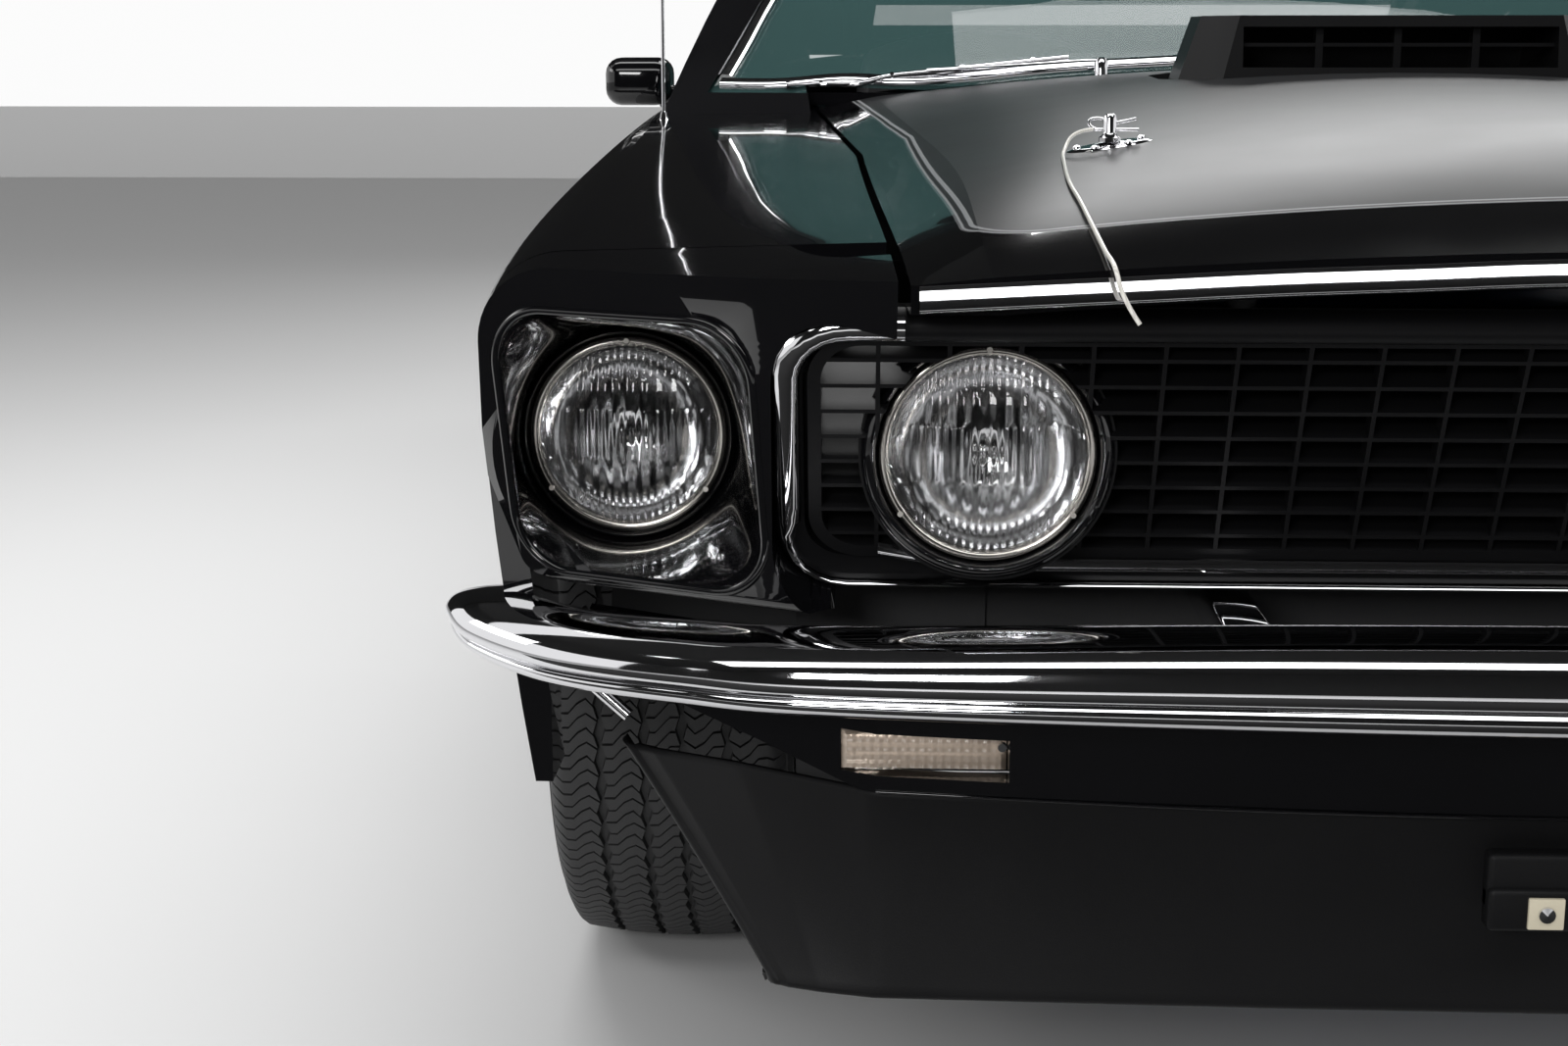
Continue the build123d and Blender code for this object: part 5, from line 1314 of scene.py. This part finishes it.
def cushion(name, low, high, replaced, lean=0.0, channels=6, upright=False):
    bm = bmesh.new()
    bmesh.ops.create_cube(bm, size=2.0)
    bmesh.ops.subdivide_edges(bm, edges=bm.edges[:], cuts=seatSet["cuts"], use_grid_fill=True)
    for vert in bm.verts:
        x, y, z = vert.co
        ball = Vector([
            a * (1 - b * b / 2 - c * c / 2 + b * b * c * c / 3) ** 0.5
            for a, b, c in ((x, y, z), (y, x, z), (z, x, y))
        ])
        sewn, beside, way = (-y, z, 1) if upright else (z, y, 2)
        inside = max(0.0, 1 - max(abs(x), abs(beside)) ** 6)
        dip = seatSet["channel"] * (1 - abs(sin(pi * channels * (x + 1) / 2))) ** 3 * inside
        point = vert.co.lerp(ball, seatSet["softness"])
        spot = Vector([share * (b - a) / 2 for share, a, b in zip(point, low, high)])
        if sewn > 0.7:
            spot[way] += dip if upright else -dip
        spot.y += lean * spot.z
        vert.co = spot + (Vector(low) + Vector(high)) / 2
    piece = finishPiece(bm, name, vinylFinish, "body", "cabin_vinyl", [replaced], 80)
    rounding = piece.modifiers.new("rounding", "SUBSURF")
    rounding.levels = 1
    rounding.render_levels = 1


for side, word in ((1, "Left"), (-1, "Right")):
    near, far = sorted(side * x for x in seatSet["sides"])
    low, high = seatSet["cushion"]
    cushion(f"frontCushion{word}", (near, *low), (far, *high), "front_seats")
    low, high = seatSet["back"]
    inset, lean = seatSet["backInset"], seatSet["backLean"]
    name = f"frontBackrest{word}"
    cushion(name, (near + inset, *low), (far - inset, *high), "front_seats", lean, upright=True)
    bm = bmesh.new()
    for x in seatSet["rails"]:
        blockAt(bm, side * x, *seatSet["rail"])
    low, high = seatSet["pan"]
    softBox(bm, (near + seatSet["panInset"], *low), (far - seatSet["panInset"], *high), 0.008)
    finishPiece(bm, f"seatRails{word}", steelFinish, "body", "steel", ["front_seats"])
channels = seatSet["rearChannels"]
cushion("rearBenchCushion", *seatSet["rearCushion"], "rear_seat", 0.0, channels)
cushion("rearBenchBackrest", *seatSet["rearBack"], "rear_seat", seatSet["rearLean"], channels, True)
print("seats made")

# Steering wheel: thin rim, three drilled spokes and a padded hub
handWheelSet = {
    "place": (0.37, -0.47, 0.742),
    "axis": (0, 0.951, 0.309),
    "radius": 0.188,
    "grip": 0.0112,
    "hub": [
        (0.028, -0.029), (0.028, -0.01), (0.04, -0.004), (0.042, 0.003), (0.036, 0.0038), (0.02, 0.0035),
        (0.0001, 0.003),
    ],
    "spokes": 3,
    "spoke": ((0.034, -0.0115, -0.0035), (0.182, 0.0115, 0.0035)),
    "holes": (0.07, 0.105, 0.14),
    "hole": [(0.0062, 0.0), (0.005, 0.0006), (0.0001, -0.0006)],
}
grip = handWheelSet["grip"]
angles = [step * pi / 8 for step in range(17)]
bm = bmesh.new()
turned(bm, (0, 0, 0), handWheelSet["hub"], "Z", 48)
rimOutline = [(handWheelSet["radius"] + grip * cos(angle), grip * sin(angle)) for angle in angles]
turned(bm, (0, 0, 0), rimOutline, "Z", 96)
for spoke in range(handWheelSet["spokes"]):
    turn = Matrix.Rotation(radians(-90 + 120 * spoke), 4, "Z")
    before = set(bm.verts)
    softBox(bm, *handWheelSet["spoke"], 0.002, 2, 1)
    for hole in handWheelSet["holes"]:
        turned(bm, (hole, 0, 0.0032), handWheelSet["hole"], "Z", 16)
    bmesh.ops.transform(bm, matrix=turn, verts=[vert for vert in bm.verts if vert not in before])
facing = Vector(handWheelSet["axis"]).to_track_quat("Z", "Y").to_matrix().to_4x4()
bmesh.ops.transform(bm, matrix=Matrix.Translation(handWheelSet["place"]) @ facing, verts=bm.verts)
body = "steering_hand_wheel"
finishPiece(bm, "steeringHandWheel", [trimFinish, spokeFinish], body, "cabin_trim", ["steering_wheel"])

# Instrument pods on the dashboard
dialSet = {
    "places": [(0.2, 0.045), (0.31, 0.056), (0.43, 0.056), (0.54, 0.045)],
    "z": 0.71,
    "ring": [(1.0, -0.002), (1.0, 0.008), (0.94, 0.0095), (0.9, 0.008), (0.88, 0.003)],
    "glass": (0.9, 0.0025),
    "cap": [(0.006, 0.0025), (0.005, 0.005), (0.0001, 0.0055)],
}
bm = bmesh.new()
for x, radius in dialSet["places"]:
    place = onNode("dashboard", (x, 0.0, dialSet["z"]), (0, -1, 0))[0]
    turned(bm, place, [(radius * share, out) for share, out in dialSet["ring"]], "Y", 40)
    share, out = dialSet["glass"]
    turned(bm, place, [(radius * share, out), *dialSet["cap"]], "Y", 40, 1)
finishPiece(bm, "instrumentPods", [chrome, satinBlack], "body", "cabin_trim")
print("cabin made")

# A fine bead along the lower edge of the valance
valanceSet = {"edge": [(0.0, -2.2905), (0.3, -2.2805), (0.56, -2.2525)], "low": 0.4205, "bead": 0.0013}
bm = bmesh.new()
pipe(bm, bothSides([(x, y, valanceSet["low"]) for x, y in valanceSet["edge"]]), valanceSet["bead"], 60)
finishPiece(bm, "valanceBead", collarFinish, "body", "body_paint", (), 60)

# Studio: pale floor, white surround, soft boxes above and ahead, and dark flags that only reflections show
stageSet = {
    "floorHalf": 30.0,
    "lights": [
        ("overheadSoftBox", (-0.3, -0.15, 3.3), (0, 0, 0), (4.2, 1.7), 110),
        ("frontStrip", (-0.4, -4.2, 2.95), (18, 0, 0), (6.5, 0.85), 60),
        ("sideFill", (-4.8, -1.2, 2.2), (66, 0, -84), (2.4, 0.8), 22),
        ("lampFill", (-1.9, -5.9, 2.0), (70, 0, -16), (1.3, 0.8), 52),
        ("rearGlow", (1.5, 4.8, 2.8), (-62, 0, 0), (3.6, 1.6), 80),
    ],
    "flags": [
        ("frontFlag", (0, -7.2, 1.6), pi / 2, (8.0, 2.2)),
        ("ceilingFlag", (0, -4.3, 3.6), 0, (8.0, 3.1)),
        ("backFlag", (0, 12.0, 4.6), pi / 2, (12.0, 4.6)),
        ("rearCeilingFlag", (0, 7.3, 6.2), 0, (12.0, 5.0)),
        ("pillarFlag", (-1.6, 0.55, 2.3), 0, (1.1, 1.15)),
        ("floorFlag", (0, -3.4, 0.004), 0, (4.0, 0.95)),
    ],
    "worldSoft": 0.42,
    "worldWhite": 0.97,
}


def stagePlane(name, place, tilt, half, finish):
    bm = bmesh.new()
    bmesh.ops.create_grid(bm, x_segments=2, y_segments=2, size=1.0)
    laid = Matrix.Translation(place) @ Matrix.Rotation(tilt, 4, "X") @ Matrix.Diagonal((*half, 1, 1))
    bmesh.ops.transform(bm, matrix=laid, verts=bm.verts)
    mesh = bpy.data.meshes.new(name)
    bm.to_mesh(mesh)
    bm.free()
    mesh.materials.append(finish.material)
    plane = bpy.data.objects.new(name, mesh)
    bpy.context.collection.objects.link(plane)
    return plane


floorFinish = Finish("studioFloor", Base_Color=(0.8, 0.8, 0.8), Roughness=0.6)
flagFinish = Finish("darkFlag", Base_Color=(0.01, 0.01, 0.01), Roughness=0.9)
floorHalf = stageSet["floorHalf"]
staged = [stagePlane("studioFloor", (0, 0, 0), 0, (floorHalf, floorHalf), floorFinish)]
for name, place, turn, size, power in stageSet["lights"]:
    data = bpy.data.lights.new(name, "AREA")
    data.shape = "RECTANGLE"
    data.size, data.size_y = size
    data.energy = power
    lamp = bpy.data.objects.new(name, data)
    lamp.location = place
    lamp.rotation_euler = [radians(value) for value in turn]
    bpy.context.collection.objects.link(lamp)
    staged.append(lamp)
for name, place, tilt, half in stageSet["flags"]:
    flag = stagePlane(name, place, tilt, half, flagFinish)
    flag.visible_camera = False
    flag.visible_diffuse = False
    flag.visible_shadow = False
    staged.append(flag)

# The world shows white to the camera, in reflections and through glass, and lights the rest softly
world = bpy.data.worlds.new("studio")
world.use_nodes = True
bpy.context.scene.world = world
nodes, links = world.node_tree.nodes, world.node_tree.links
nodes.clear()
output = nodes.new("ShaderNodeOutputWorld")
soft = nodes.new("ShaderNodeBackground")
soft.inputs["Strength"].default_value = stageSet["worldSoft"]
white = nodes.new("ShaderNodeBackground")
white.inputs["Color"].default_value = (*[stageSet["worldWhite"]] * 3, 1)
path = nodes.new("ShaderNodeLightPath")
pick = nodes.new("ShaderNodeMixShader")
seen = path.outputs["Is Camera Ray"]
for other in ("Is Glossy Ray", "Is Transmission Ray"):
    either = nodes.new("ShaderNodeMath")
    either.operation = "MAXIMUM"
    links.new(seen, either.inputs[0])
    links.new(path.outputs[other], either.inputs[1])
    seen = either.outputs[0]
for place, link in enumerate((seen, soft.outputs["Background"], white.outputs["Background"])):
    links.new(link, pick.inputs[place])
links.new(pick.outputs["Shader"], output.inputs["Surface"])

print("studio made")
